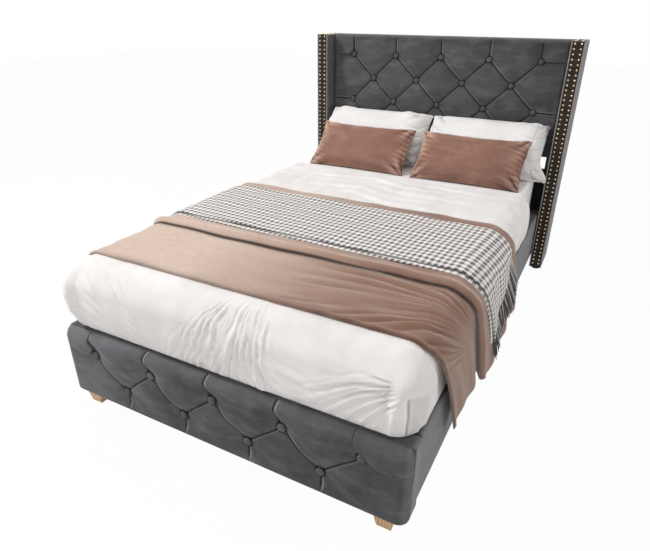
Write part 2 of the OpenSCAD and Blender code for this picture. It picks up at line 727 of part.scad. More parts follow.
// Length of cloth from the flat top down to a height
function hang(z) = edge_arc + duvet_z - duvet_edge_r - z;

module duvet() color(cotton) in_bed() {
    skirt = hang(duvet_low);
    down = [for (f = [0.25:0.25:1]) f * edge_arc];
    rolled = concat(down, [mix(edge_arc, skirt, 0.5), skirt]);
    rising = [for (i = [len(rolled) - 1:-1:0]) rolled[i]];
    s_list = concat([for (d = rising) -flat_x - d], [for (i = [-4:4]) i * flat_x / 4],
        [for (d = rolled) flat_x + d]);
    t_list = concat([for (d = rising) flat_y - d], steps(flat_y, duvet_head_y, (duvet_head_y - flat_y) / 8));
    outer = [for (s = s_list) [for (t = t_list)
        laid(s, t, min(0, -duvet_top_t * 0.6 * (1 - smooth((duvet_head_y - t) / 40))))]];
    inner = [for (s = s_list) [for (t = t_list) lining(s, t)]];
    two_faced(outer, inner);
}

// Push of the hanging cloth away from the bed, which only grows downwards
function swing(d, t) = let (f = 1 - exp(-max(0, d - 20) / 130))
    f * (18 + 9 * (1 + sin(t * 1.35)) + 4 * (1 + sin(t * 0.62 + 40)));

blanket_y = 150;
blanket_fold_y = 470;
blanket_roll = 24;
blanket_end_y = 1075;
blanket_low = 172;
blanket_fold_low = 90;
throw_y = 590;
throw_end_y = 1010;
throw_low_front = 265;
throw_low_rear = 470;
drift = 0.5;
cloth_row = 70;

// Share of the way from the single to the folded part of the blanket
function folded(t) = smooth((t - blanket_fold_y) / blanket_roll);
function blanket_over(t) = soft_gap + mix(blanket_t, blanket_fold_t, folded(t));
// The cloth slants towards the head as it hangs
function slant(s) = drift * max(0, abs(s) - flat_x - edge_arc * 0.4);

side_clear = rail_x - duvet_x + 1;
function cover_point(s, t, h) =
    let (side = max(0, abs(s) - flat_x),
        push = side_clear * smooth(side / edge_arc) + swing(side - edge_arc * 0.5, t))
    laid(s, t, h, push) + [0, slant(s), 0];

// Height of the hem of the throw, which lies askew on the bed
function throw_low(t) =
    mix(throw_low_front, throw_low_rear, max(0, min(1, (t - throw_y) / (throw_end_y - throw_y))));

// Columns of the cloths, as distances past the flat top. All of them share these and the
// rows, so their facets lie parallel and stay clear of each other.
roll_drops = [for (f = [0.25:0.25:1]) f * edge_arc];
function throw_drops(t) = let (hem = hang(throw_low(t)))
    concat(roll_drops, [for (i = [1:3]) mix(edge_arc, hem, i / 3)]);
function fringe_drops(t) = let (hem = hang(throw_low(t))) [hem + fringe_l / 2, hem + fringe_l];
function blanket_drops(t) =
    let (hem = hang(mix(blanket_low, blanket_fold_low, folded(t))),
        all = concat(throw_drops(t), fringe_drops(t), [hem]), last = len(all) - 1)
    [for (i = [0:last]) min(all[i], hem - 8 * (last - i))];
// Places across the flat cloth, from the left hem to the right one
function spread(drops) = concat([for (i = [len(drops) - 1:-1:0]) -flat_x - drops[i]],
    [for (i = [-2:2]) i * flat_x / 2], [for (d = drops) flat_x + d]);

throw_rows = steps(throw_y, throw_end_y, cloth_row);
blanket_rows = concat(steps(blanket_y, blanket_fold_y, cloth_row),
    drop_last(steps(blanket_fold_y + blanket_roll, throw_y, cloth_row)),
    drop_last(throw_rows), steps(throw_end_y, blanket_end_y, cloth_row));

module blanket() color(mocha) in_bed() {
    places = [for (t = blanket_rows) spread(blanket_drops(t))];
    across = [0:len(places[0]) - 1];
    along = [0:len(blanket_rows) - 1];
    two_faced([for (i = across) [for (j = along)
            cover_point(places[j][i], blanket_rows[j], blanket_over(blanket_rows[j]))]],
        [for (i = across) [for (j = along) cover_point(places[j][i], blanket_rows[j], soft_gap)]]);
}

throw_over = soft_gap + blanket_over(throw_end_y);

module throw() color(check_grey) in_bed() {
    places = [for (t = throw_rows) spread(throw_drops(t))];
    across = [0:len(places[0]) - 1];
    along = [0:len(throw_rows) - 1];
    two_faced([for (i = across) [for (j = along)
            cover_point(places[j][i], throw_rows[j], throw_over + throw_t)]],
        [for (i = across) [for (j = along) cover_point(places[j][i], throw_rows[j], throw_over)]]);
}

fringe_n = 24;
fringe_strand = 4;
// A strand starts clear of the hem, which slopes across the strand's width
fringe_gap = soft_gap
    + fringe_strand / 2 * abs(throw_low_rear - throw_low_front) / (throw_end_y - throw_y);
fringe_flare = 16;

// Point on the fringe, at a share f along the hem from front to rear and a level k down
// the strand, with its place between the two nearest rows of the cloth
function fringe_point(side, f, k) =
    let (n = len(throw_rows) - 1, i = min(n - 1, floor(f * n)), w = f * n - i,
        drop = function(t) k == 0 ? hang(throw_low(t)) : fringe_drops(t)[k - 1],
        lift = throw_over + throw_t / 2 + k * (1 + f * fringe_flare / 2),
        a = throw_rows[i], b = throw_rows[i + 1])
    mix(cover_point(side * (flat_x + drop(a)), a, lift),
        cover_point(side * (flat_x + drop(b)), b, lift), w) - [0, 0, k == 0 ? fringe_gap : 0];

// Square strand through three points, with level ends
module strand(p) {
    h = fringe_strand / 2;
    rings = [for (q = p) for (c = [[-h, -h], [h, -h], [h, h], [-h, h]]) q + [c.x, c.y, 0]];
    walls = [for (k = [0:1], i = [0:3]) let (a = 4 * k + i, b = 4 * k + (i + 1) % 4)
        each [[a, a + 4, b + 4], [a, b + 4, b]]];
    polyhedron(rings, concat(walls, [[0, 1, 2], [0, 2, 3], [8, 10, 9], [8, 11, 10]]));
}

module throw_fringe() color(check_grey) in_bed()
    for (side = [-1, 1], i = [0:fringe_n - 1]) {
        f = (i + 0.5) / fringe_n;
        strand([for (k = [0:2]) fringe_point(side, f, k)]);
    }

// Pillow that lies back in the corner between the mattress and the headboard. The front
// and the back are curves in the side view, and both close in towards the ends.
pillow_mid_x = pillow_w / 2 + pillow_gap;
module pillow() {
    back_y = crown_y - 2 * soft_gap;
    low_z = sheet_top + soft_gap;
    reach = function(f, g) [back_y - pillow_reach * f, low_z + pillow_rise * g];
    front = function(v) bezier(reach(0.8, 0.02), reach(1, 0.49), reach(0.5, 1), reach(0.03, 0.88), v);
    back = function(v) let (p = bezier(reach(0.8, 0.01), reach(0.4, -0.1), reach(-0.2, 0.2),
        reach(0.03, 0.866), v)) [min(p[0], back_y), max(p[1], low_z)];
    u_list = [-1, -0.96, -0.88, -0.76, -0.6, -0.4, -0.2, 0, 0.2, 0.4, 0.6, 0.76, 0.88, 0.96, 1];
    nv = 10;
    // Corners stand out, the ends draw in between them, and the body thins towards the ends
    function point(u, v, shape) = let (full = pow(1 - pow(abs(u), 3), 0.5), f = front(v), b = back(v),
        m = (f + b) / 2, s = shape ? f : b, draw = 1 - 0.05 * pow(abs(u), 4) * sin(180 * v),
        fall = 26 * pow(abs(u), 6) * smooth(v * 2), q = m + (s - m) * full)
        [pillow_w / 2 * u * draw, min(back_y, q[0] - (shape ? edge_half : 0)), max(low_z, q[1] - fall)];
    outer = [for (u = u_list) [for (j = [0:nv]) point(u, j / nv, true)]];
    inner = [for (u = u_list) [for (j = [0:nv]) point(u, j / nv, false)]];
    two_faced(outer, inner);
}
module pillow_left() color(cotton) in_bed() translate([-pillow_mid_x, 0, 0]) pillow();
module pillow_right() color(cotton) in_bed() translate([pillow_mid_x, 0, 0]) pillow();

// Velvet cushion with a crown, a thin edge and corners that stand out, leaning back
cushion_lean = 46;
cushion_mid_x = cushion_w / 2 + 24;
edge_half = 1.5;
module cushion() {
    // Half the thickness of the cushion at u and v from -1 to 1
    function loft(u, v) = let (full = (1 - pow(abs(u), 2.4)) * (1 - pow(abs(v), 2.2)))
        edge_half + (cushion_t / 2 - edge_half) * pow(full, 0.55);
    function point(u, v, side) =
        let (x = cushion_w / 2 * u * (1 - 0.035 * (1 - v * v) * u * u),
            y = cushion_h / 2 * v * (1 - 0.06 * (1 - u * u) * v * v))
        [x, -side * loft(u, v), y];
    u_list = [-1, -0.95, -0.85, -0.7, -0.5, -0.25, 0, 0.25, 0.5, 0.7, 0.85, 0.95, 1];
    v_list = [-1, -0.92, -0.75, -0.5, -0.2, 0.2, 0.5, 0.75, 0.92, 1];
    two_faced([for (u = u_list) [for (v = v_list) point(u, v, 1)]],
        [for (u = u_list) [for (v = v_list) point(u, v, -1)]]);
}
module placed_cushion() translate([0, crown_y - cushion_reach, sheet_top + soft_gap + edge_half])
    rotate([cushion_lean - 90, 0, 0]) translate([0, 0, cushion_h / 2]) cushion();
module cushion_left() color(mocha) in_bed() translate([-cushion_mid_x, 0, 0]) placed_cushion();
module cushion_right() color(mocha) in_bed() translate([cushion_mid_x, 0, 0]) placed_cushion();

headboard_pad();
headboard_top_band();
headboard_buttons();
headboard_back_board();
headboard_top_rail();
headboard_bottom_rail();
headboard_stiles();
headboard_rear_cloth();
headboard_lower_board();
wing_board_left();
wing_board_right();
wing_cover_left();
wing_cover_right();
wing_band_left();
wing_band_right();
wing_piping_left();
wing_piping_right();
wing_nails_left();
wing_nails_right();
wing_glides();
footboard_pad();
footboard_buttons();
footboard_board();
footboard_cover();
rail_board_left();
rail_board_right();
rail_cover_left();
rail_cover_right();
slat_ledge_left();
slat_ledge_right();
corner_brackets();
bracket_bolts();
front_feet();
foot_bolts();
centre_beam();
beam_brackets();
centre_legs();
centre_leg_glides();
slats();
slat_screws();
mattress();
fitted_sheet();
duvet();
blanket();
throw();
throw_fringe();
pillow_left();
pillow_right();
cushion_left();
cushion_right();
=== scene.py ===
"""Upholstered wing bed dressed with its bedding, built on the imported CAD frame."""

import math

import bmesh
import bpy
import numpy as np
from bpy.props import FloatProperty, IntProperty, PointerProperty
from mathutils import Matrix, Vector


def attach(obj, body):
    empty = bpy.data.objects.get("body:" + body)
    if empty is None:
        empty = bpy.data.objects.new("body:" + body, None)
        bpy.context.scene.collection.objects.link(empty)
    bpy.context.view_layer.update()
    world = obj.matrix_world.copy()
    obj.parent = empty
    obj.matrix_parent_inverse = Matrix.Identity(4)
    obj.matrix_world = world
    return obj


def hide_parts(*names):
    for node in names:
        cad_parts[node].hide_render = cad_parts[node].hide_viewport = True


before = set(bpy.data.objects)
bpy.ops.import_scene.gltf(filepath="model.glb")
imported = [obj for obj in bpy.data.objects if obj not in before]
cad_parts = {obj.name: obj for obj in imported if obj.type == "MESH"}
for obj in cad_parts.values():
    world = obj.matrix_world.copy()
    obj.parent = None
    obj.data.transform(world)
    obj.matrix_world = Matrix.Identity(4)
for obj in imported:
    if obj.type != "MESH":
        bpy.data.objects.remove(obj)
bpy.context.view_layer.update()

bl_info = {
    "name": "Upholstered Bed",
    "version": (1, 0, 0),
    "blender": (4, 5, 0),
    "location": "View3D > Sidebar > Bed",
    "description": "Builds the cushioning, the bedding and the finishes of an upholstered bed",
    "category": "Object",
}

# Sizes of the frame in millimetres. x is from the middle, y from the front of the
# footboard, z from the floor.
HALF_LENGTH = 1119.0
WING_IN, WING_OUT, WING_MID = 659.0, 725.0, 692.0
WING_Y, WING_BACK, WING_Z = 2020.0, 2238.0, 17.0
CROWN_Y, BOARD_Y = 2099.0, 2125.0
HEAD_H, PANEL_Z = 1205.0, 625.0
RAIL_IN, RAIL_X, RAIL_TOP, FLOOR_GAP = 603.0, 653.0, 321.0, 60.0
FOOT_X, FOOT_PAD, FOOT_T, FOOT_ROLL = 658.0, 40.0, 96.0, 34.0
RAIL_END = 2119.0
SHEET_TOP, SLAT_TOP = 540.0, 290.0
# Low x, high x, low y and high y of the mattress and of the sheet round it
MATTRESS_BOX, SHEET_BOX = (-600.0, 600.0, 97.5, 2097.5), (-601.7, 601.7, 96.6, 2098.4)
MATTRESS_H, MATTRESS_CORNER, MATTRESS_EDGE, QUILT_CELL = 248.0, 42, 14, 95
DUVET_IN_X, DUVET_X, DUVET_IN_Y, DUVET_Y = 602.3, 648.3, 96.2, 50.2
DUVET_IN_Z, DUVET_Z, DUVET_LOW = 540.3, 568.3, 321.3
EDGE_R = 78.0
EDGE_ARC = EDGE_R * math.pi / 2
FLAT_X, FLAT_Y = DUVET_X - EDGE_R, DUVET_Y + EDGE_R
DUVET_HEAD = 1600.0
# Tufting: pitch across, step down, height of the first row, and number of rows
HEAD_TUFTS, FOOT_TUFTS = (2 * WING_IN / 5, 126.5, 1100.0, 4), (257.5, 111.5, 245.0, 2)
# Where the blanket and the throw begin, fold and end, and how high their hems hang
BLANKET_Y, BLANKET_FOLD, BLANKET_END = 150, 470, 1075
BLANKET_HEM, BLANKET_DROP, FOLDED_HEM = 172, 30, 90
THROW_LOW_Y, THROW_Y, THROW_END = 562, 590, 1010
THROW_HEM, THROW_OVER = (265.0, 470.0), 12.6
# Point over the duvet's front corner that its folds fan out from, and the mitred tab's edge
FAN_X, FAN_Z, TAB_X = 618, 508, 609
NAIL_PITCH, NAIL_OFF, FRINGE = 23.5, 11.5, 130


# ---------------------------------------------------------------- numbers and surfaces

def to_row(points):
    """Millimetres of the bed to metres of the frame: (x, y - 1119, z) / 1000."""
    out = np.array(points, dtype=float) / 1000.0
    out[..., 1] -= HALF_LENGTH / 1000.0
    return out


def smooth(t):
    """c²(3 − 2c) with c = t held between 0 and 1."""
    c = np.clip(t, 0.0, 1.0)
    return c * c * (3 - 2 * c)


def mix(a, b, t):
    """a + (b − a)t."""
    return a + (b - a) * t


def wobble(seed, count, low, high, *coords):
    """Sum over k of sin(f_k · p + φ_k) / √count, with directions, waves of low to high
    millimetres and phases drawn from a fixed seed. It lies between about −2 and 2."""
    rng = np.random.default_rng(seed)
    total = 0.0
    for _ in range(count):
        way = rng.normal(size=len(coords))
        way /= np.linalg.norm(way)
        freq = 2 * math.pi / rng.uniform(low, high)
        phase = rng.uniform(0, 2 * math.pi)
        total = total + np.sin(sum(w * c for w, c in zip(way, coords)) * freq + phase)
    return total / math.sqrt(count)


def pucker(x):
    """2|sin(x/2)| − 1, rounded folds with sharp valleys between them."""
    return 2 * np.abs(np.sin(x / 2)) - 1


def valley(fold):
    """1 at the bottom of a fold of pucker and 0 from its lower third up."""
    return smooth((-fold - 0.35) / 0.6)


def ridge(distance, width):
    """exp(−(d/w)²), a rounded ridge or groove."""
    return np.exp(-(distance / width) ** 2)


def grid_quads(nu, nv, wrap_u=False, wrap_v=False):
    """Corner numbers of the cells of a grid of nu by nv points, numbered i·nv + j."""
    i = np.arange(nu if wrap_u else nu - 1)
    j = np.arange(nv if wrap_v else nv - 1)
    i, j = np.meshgrid(i, j, indexing="ij")
    i2, j2 = (i + 1) % nu, (j + 1) % nv
    cells = np.stack([i * nv + j, i2 * nv + j, i2 * nv + j2, i * nv + j2], axis=-1)
    return cells.reshape(-1, 4)


def normals_of(grid):
    """Unit normal of each point of a grid: ∂p/∂u × ∂p/∂v."""
    du = np.gradient(grid, axis=0)
    dv = np.gradient(grid, axis=1)
    n = np.cross(du, dv)
    return n / np.maximum(np.linalg.norm(n, axis=-1, keepdims=True), 1e-9)


def build(name, points, faces, body, uv=None, attributes=None, shade=True):
    """Mesh object of points in millimetres and faces, riding on a body. Faces is a list of
    corner lists or whole arrays of them."""
    points = to_row(points).reshape(-1, 3)
    polygons = []
    for part in faces if isinstance(faces, list) else [faces]:
        polygons.extend(part.tolist() if isinstance(part, np.ndarray) else [part])
    mesh = bpy.data.meshes.new(name)
    mesh.from_pydata(points.tolist(), [], polygons)
    work = bmesh.new()
    work.from_mesh(mesh)
    bmesh.ops.recalc_face_normals(work, faces=work.faces)
    work.to_mesh(mesh)
    work.free()
    if uv is not None:
        corner = np.empty(len(mesh.loops), dtype=np.int32)
        mesh.loops.foreach_get("vertex_index", corner)
        layer = mesh.uv_layers.new(name="UVMap")
        layer.data.foreach_set("uv", np.asarray(uv, dtype=np.float32).reshape(-1, 2)[corner].ravel())
    for key, values in (attributes or {}).items():
        layer = mesh.attributes.new(key, "FLOAT", "POINT")
        layer.data.foreach_set("value", np.asarray(values, dtype=np.float32).ravel())
    mesh.polygons.foreach_set("use_smooth", np.full(len(mesh.polygons), shade))
    if mesh.validate():
        raise RuntimeError(f"{name} has faces that Blender had to correct")
    mesh.update()
    piece = bpy.data.objects.new(name, mesh)
    bpy.context.scene.collection.objects.link(piece)
    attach(piece, body)
    return piece


def loft(rings):
    """Points and faces of closed rings, an array (rings, points, 3), joined one after the
    other. The first and the last ring are closed with a face each."""
    nu, nv = rings.shape[:2]
    ends = [list(range(nv))[::-1], list(range((nu - 1) * nv, nu * nv))]
    return rings.reshape(-1, 3), [grid_quads(nu, nv, wrap_v=True)] + ends


def shell(outer, inner, k=1):
    """Closed skin round an outer and an inner grid of the same size (nu, nv, 3). The cross
    product of the two directions of the grid points out of the outer face. Of the inner grid
    only every k-th point each way is kept, and a rim face joins k + 1 outer points to 2."""
    nu, nv = outer.shape[:2]
    inner = inner[::k, ::k]
    mu, mv = inner.shape[:2]
    n = nu * nv
    a, b = np.arange(mu - 1), np.arange(mv - 1)
    last, far = (nu - 1) * nv, n + (mu - 1) * mv

    def rim(start, step, low, high):
        """Faces from k + 1 outer points, a step apart from start on, to two inner ones."""
        return np.stack([start + i * step for i in range(k + 1)] + [high, low], axis=-1)
    faces = [grid_quads(nu, nv), n + grid_quads(mu, mv)[:, ::-1],
             rim(b * k, 1, n + b, n + b + 1)[:, ::-1],
             rim(last + b * k, 1, far + b, far + b + 1),
             rim(a * k * nv, nv, n + a * mv, n + (a + 1) * mv),
             rim(a * k * nv + nv - 1, nv, n + a * mv + mv - 1, n + (a + 1) * mv + mv - 1)[:, ::-1]]
    return np.concatenate([outer.reshape(-1, 3), inner.reshape(-1, 3)]), faces


def spin(profile, centres, count, axis="y"):
    """Copies of a profile turned about an axis, one for each centre. The profile is a list of
    (radius, height) from the back to the tip, and height grows towards −y or +z."""
    radius, height = np.array(profile, dtype=float).T[:, :, None]
    angle = np.arange(count) * 2 * math.pi / count
    a, b = radius * np.cos(angle), radius * np.sin(angle)
    h = height + 0 * a
    body = np.stack([a, -h, b] if axis == "y" else [a, b, h], axis=-1)
    way = -1 if axis == "y" else 1
    points = np.asarray(centres, dtype=float)[:, None, None, :] + body
    size = len(profile) * count
    side = grid_quads(len(profile), count, wrap_v=True)[:, ::way]
    quads, caps = [], []
    for start in range(0, len(centres) * size, size):
        quads.append(side + start)
        caps.append(list(range(start, start + count))[::-way])
        caps.append(list(range(start + size - count, start + size))[::way])
    return points.reshape(-1, 3), [np.concatenate(quads)] + caps


def joined(parts):
    """Points and faces of several pairs of them as one pair."""
    points, faces, start = [], [], 0
    for some, corners in parts:
        points.append(some)
        faces += [f + start if isinstance(f, np.ndarray) else [v + start for v in f] for f in corners]
        start += len(some)
    return np.concatenate(points), faces


def marked(points, **values):
    """Attributes of the points, each from one number for all or from an array."""
    return {key: np.broadcast_to(value, len(points)) for key, value in values.items()}


def rounded_ring(low_x, high_x, low_y, high_y, r, per_corner, per_side, inset=0.0):
    """Corners of a rounded rectangle, anticlockwise, as an array (n, 2)."""
    lx, hx, ly, hy = low_x + inset, high_x - inset, low_y + inset, high_y - inset
    r = max(r - inset, 0.5)
    t = np.linspace(0, 1, per_side + 1)[1:-1, None]
    out = []
    for cx, cy, start, end in ((hx - r, hy - r, 0, (lx + r, hy)), (lx + r, hy - r, 90, (lx, ly + r)),
                               (lx + r, ly + r, 180, (hx - r, ly)), (hx - r, ly + r, 270, (hx, hy - r))):
        a = np.radians(start + np.linspace(0, 90, per_corner))
        out.append(np.stack([cx + r * np.cos(a), cy + r * np.sin(a)], axis=-1))
        out.append(out[-1][-1] * (1 - t) + np.array(end) * t)
    return np.concatenate(out)


def tower(profile, box, r, per_corner, per_side):
    """Rings of a rounded rectangle one over the other, an array (rings, points, 3). The
    profile is a list of (height, inset)."""
    rings = []
    for z, inset in profile:
        ring = rounded_ring(*box, r, per_corner, per_side, inset)
        rings.append(np.column_stack([ring, np.full(len(ring), z)]))
    return np.array(rings)


# ---------------------------------------------------------------- materials

WHITE = (1, 1, 1, 1)


def srgb(r, g, b):
    """Display colour from 0 to 255 to linear light."""
    c = np.array([r, g, b]) / 255.0
    c = np.where(c <= 0.04045, c / 12.92, ((c + 0.055) / 1.055) ** 2.4)
    return (*c.tolist(), 1.0)


def toned(colour, share):
    """The colour times a share, held at 1."""
    return tuple(min(1.0, share * c) for c in colour[:3]) + (1.0,)


class Graph:
    """Node tree of one material, with a short word for each kind of node."""

    def __init__(self, name, roughness=0.8, sheen=0.0, sheen_roughness=0.4, metallic=0.0,
                 coat=0.0, specular=0.5, tint=WHITE):
        self.material = bpy.data.materials.new(name)
        self.material.use_nodes = True
        self.tree = self.material.node_tree
        self.tree.nodes.clear()
        self.shader = self.new("ShaderNodeBsdfPrincipled", {
            "Roughness": roughness, "Sheen Weight": sheen, "Metallic": metallic,
            "Sheen Roughness": sheen_roughness, "Coat Weight": coat,
            "Specular IOR Level": specular, "Sheen Tint": tint})
        out = self.tree.nodes.new("ShaderNodeOutputMaterial")
        self.tree.links.new(self.shader.outputs["BSDF"], out.inputs["Surface"])
        self.place = self.tree.nodes.new("ShaderNodeTexCoord")

    def new(self, kind, values):
        """New node. Each input that is named, or numbered, gets a value or a link."""
        node = self.tree.nodes.new(kind)
        for key, value in values.items():
            if isinstance(value, bpy.types.NodeSocket):
                self.tree.links.new(value, node.inputs[key])
            else:
                node.inputs[key].default_value = value
        return node

    def where(self, kind="Object"):
        return self.place.outputs[kind]

    def mapped(self, scale, turn=(0, 0, 0)):
        values = {"Vector": self.where(), "Scale": scale, "Rotation": turn}
        return self.new("ShaderNodeMapping", values).outputs["Vector"]

    def noise(self, scale, detail=3.0, roughness=0.55, distortion=0.0, vector=None):
        values = {"Vector": vector or self.where(), "Scale": scale, "Detail": detail,
                  "Roughness": roughness, "Distortion": distortion}
        return self.new("ShaderNodeTexNoise", values).outputs["Fac"]

    def wave(self, scale, direction, distortion, detail=2.0, vector=None):
        values = {"Vector": vector or self.where(), "Scale": scale, "Distortion": distortion,
                  "Detail": detail}
        node = self.new("ShaderNodeTexWave", values)
        node.bands_direction = direction
        return node.outputs["Fac"]

    def math(self, word, a, b=0.0):
        node = self.new("ShaderNodeMath", {0: a, 1: b})
        node.operation = word
        return node.outputs[0]

    def weighed(self, a, share_a, b, share_b=1.0):
        """share_a · a + share_b · b."""
        return self.math("ADD", self.math("MULTIPLY", a, share_a), self.math("MULTIPLY", b, share_b))

    def stretch(self, value, low, high, to_low=0.0, to_high=1.0):
        values = {"Value": value, "From Min": low, "From Max": high, "To Min": to_low, "To Max": to_high}
        return self.new("ShaderNodeMapRange", values).outputs[0]

    def blend(self, factor, a, b):
        """Sockets 6, 7 and 2 are those of the Mix node that carry colours."""
        node = self.new("ShaderNodeMix", {0: factor, 6: a, 7: b})
        node.data_type = "RGBA"
        return node.outputs[2]

    def attribute(self, name):
        node = self.new("ShaderNodeAttribute", {})
        node.attribute_name = name
        return node.outputs["Fac"]

    def finish(self, colour, height=None, distance=0.001, strength=1.0, roughness=None):
        """Links the colour, the roughness and the height of the surface to the shader."""
        self.tree.links.new(colour, self.shader.inputs["Base Color"])
        if roughness is not None:
            self.tree.links.new(roughness, self.shader.inputs["Roughness"])
        if height is not None:
            node = self.new("ShaderNodeBump", {"Strength": strength, "Distance": distance, "Height": height})
            self.tree.links.new(node.outputs["Normal"], self.shader.inputs["Normal"])
        return self.material


def velvet(name, deep, base, light, patch, sheen, tint=WHITE, contrast=1.0):
    """Short-pile velvet: cloudy patches where the pile lies differently and fine pile, with painted
    shade in the creases and painted highlights on the fold rims, each from an attribute of the mesh."""
    deep, base, light = srgb(*deep), srgb(*base), srgb(*light)
    g = Graph(name, roughness=0.8, sheen=sheen, sheen_roughness=0.35, specular=0.22, tint=tint)
    cloud = g.noise(patch, detail=5.0, roughness=0.6, distortion=0.15)
    brushed = g.mapped((0.45, 0.7, 1.3), (0.3, 0.35, 0.2))
    streak = g.noise(patch * 2.6, detail=8.0, roughness=0.68, vector=brushed)
    cloud = g.stretch(g.weighed(cloud, 0.7, streak, 0.3), 0.5 - 0.24 / contrast, 0.5 + 0.24 / contrast)
    colour = g.blend(cloud, deep, base)
    colour = g.blend(g.stretch(streak, 0.5, 0.85, 0.0, 0.35), colour, light)
    # Painted highlight where the mesh marks rims and lit faces, then painted shade where it marks creases, seams and
    # shaded parts
    colour = g.blend(g.attribute("rim"), colour, light)
    colour = g.blend(g.attribute("crease"), colour, toned(deep, 0.12))
    pile = g.weighed(g.noise(140.0, detail=2.0), 0.7, g.noise(900.0, detail=2.0))
    return g.finish(colour, pile, distance=0.0006, strength=0.45,
                    roughness=g.stretch(streak, 0.3, 0.7, 0.84, 0.7))


def cloth(name, low, high, threads, fuzz=0.15, sheen=0.15, tint=WHITE, fade=None):
    """Woven cloth: threads all ways, slubs, and slow changes of tone, with a painted highlight on rims
    and painted shade in creases, each from an attribute of the mesh. The last argument is the lighter tone of a painted
    sheen, laid on where a further attribute asks for it."""
    low, high = srgb(*low), srgb(*high)
    g = Graph(name, roughness=0.85, sheen=sheen, sheen_roughness=0.5, specular=0.2, tint=tint)
    slub = g.noise(230.0, detail=3.0, vector=g.mapped((1, 0.15, 1)))
    tone = g.noise(5.0, detail=4.0, roughness=0.6)
    colour = g.blend(g.stretch(tone, 0.32, 0.68), low, high)
    # Painted sheen: a lighter tone where the mesh asks for it
    if fade is not None:
        pile = g.weighed(g.noise(3.0, detail=3.0), 0.3, g.attribute("fade"))
        colour = g.blend(0.72, colour, g.blend(g.stretch(pile, 0.12, 1.1), low, srgb(*fade)))
    # Painted highlight where the mesh marks rims
    colour = g.blend(g.attribute("rim"), colour, toned(high, 1.35))
    colour = g.blend(g.stretch(slub, 0.45, 0.75, 0.0, 0.35 * (0.5 + fuzz)), colour, low)
    # Painted shade where the mesh marks creases and shaded parts
    colour = g.blend(g.attribute("crease"), colour, toned(low, 0.45 if fade is None else 0.12))
    warp, weft, rise = (g.wave(threads / math.tau, axis, 0.6) for axis in "XYZ")
    weave = g.math("ADD", g.math("ADD", warp, weft), rise)
    height = g.weighed(weave, 0.3, g.noise(420.0, detail=3.0), 0.7 + fuzz)
    return g.finish(colour, height, distance=0.0005, strength=0.4,
                    roughness=g.stretch(slub, 0.3, 0.7, 0.8, 0.92))


def wood(name, dark, light, along, roughness=0.55, coat=0.0, rings=26.0):
    """Planed timber: long drawn-out rings and fine pores running along the grain."""
    dark, light = srgb(*dark), srgb(*light)
    g = Graph(name, roughness=roughness, coat=coat)
    vector = g.mapped({"X": (0.09, 1, 1), "Y": (1, 0.09, 1), "Z": (1, 1, 0.09)}[along])
    grain = g.wave(rings, "Z" if along != "Z" else "X", distortion=7.0, detail=3.0, vector=vector)
    pores = g.noise(260.0, detail=3.0, vector=vector)
    tone = g.weighed(grain, 0.6, pores, 0.4)
    colour = g.blend(g.stretch(tone, 0.2, 0.8), dark, light)
    colour = g.blend(g.stretch(g.noise(6.0, detail=2.0), 0.4, 0.7, 0.0, 0.3), colour, dark)
    return g.finish(colour, tone, distance=0.0006, strength=0.35,
                    roughness=g.stretch(pores, 0.3, 0.7, roughness - 0.08, roughness + 0.12))


# Repeats of the check and of its twill, in metres
GINGHAM_U, GINGHAM_V, TWILL = 0.0225, 0.028, 0.0026


def gingham():
    """Two-tone check by the cloth's own coordinates in metres: a stripe of half the repeat
    both ways, dark where two stripes cross, mid grey where one runs, white elsewhere."""
    g = Graph("gingham_grey", roughness=0.88, sheen=0.25, sheen_roughness=0.5, specular=0.2)
    u, v, _ = g.new("ShaderNodeSeparateXYZ", {0: g.where("UV")}).outputs
    stripes = []
    for axis, repeat in ((u, GINGHAM_U), (v, GINGHAM_V)):
        part = g.math("FRACT", g.math("DIVIDE", axis, repeat))
        stripes.append(g.stretch(g.math("PINGPONG", part, 0.5), 0.235, 0.265))
    both = g.math("ADD", *stripes)
    twill = g.math("FRACT", g.math("DIVIDE", g.math("ADD", u, v), TWILL))
    twill = g.stretch(g.math("PINGPONG", twill, 0.5), 0.1, 0.4)
    one = g.blend(twill, srgb(172, 166, 164), srgb(220, 214, 211))
    white = g.blend(g.noise(300.0), srgb(236, 231, 227), srgb(250, 247, 244))
    dark = g.blend(g.noise(420.0), srgb(82, 76, 77), srgb(110, 103, 103))
    colour = g.blend(g.math("MINIMUM", both, 1.0), white, one)
    colour = g.blend(g.math("MAXIMUM", g.math("SUBTRACT", both, 1.0), 0.0), colour, dark)
    # Painted shadow, near black, along the hem lines that the mesh marks
    colour = g.blend(g.attribute("crease"), colour, srgb(34, 32, 34))
    height = g.weighed(twill, 0.5, g.noise(700.0, detail=2.0))
    return g.finish(colour, height, distance=0.0005, strength=0.5)


def yarn():
    """Grey and off-white yarn, strand by strand, from the tone attribute."""
    g = Graph("fringe_yarn", roughness=0.9, sheen=0.3, specular=0.2)
    colour = g.blend(g.attribute("tone"), srgb(58, 55, 58), srgb(222, 217, 213))
    colour = g.blend(g.stretch(g.noise(500.0), 0.4, 0.7, 0.0, 0.25), colour, srgb(112, 108, 110))
    return g.finish(colour, g.wave(420.0, "Z", distortion=2.0), distance=0.0008, strength=0.5)


def brass():
    """Pale brass with a slow change of tone and polish."""
    g = Graph("brass_pale", roughness=0.3, metallic=1.0)
    tone = g.noise(90.0, detail=3.0)
    colour = g.blend(g.stretch(tone, 0.35, 0.7), srgb(176, 160, 126), srgb(226, 214, 184))
    return g.finish(colour, g.noise(700.0), distance=0.0003, strength=0.25,
                    roughness=g.stretch(tone, 0.3, 0.7, 0.24, 0.4))


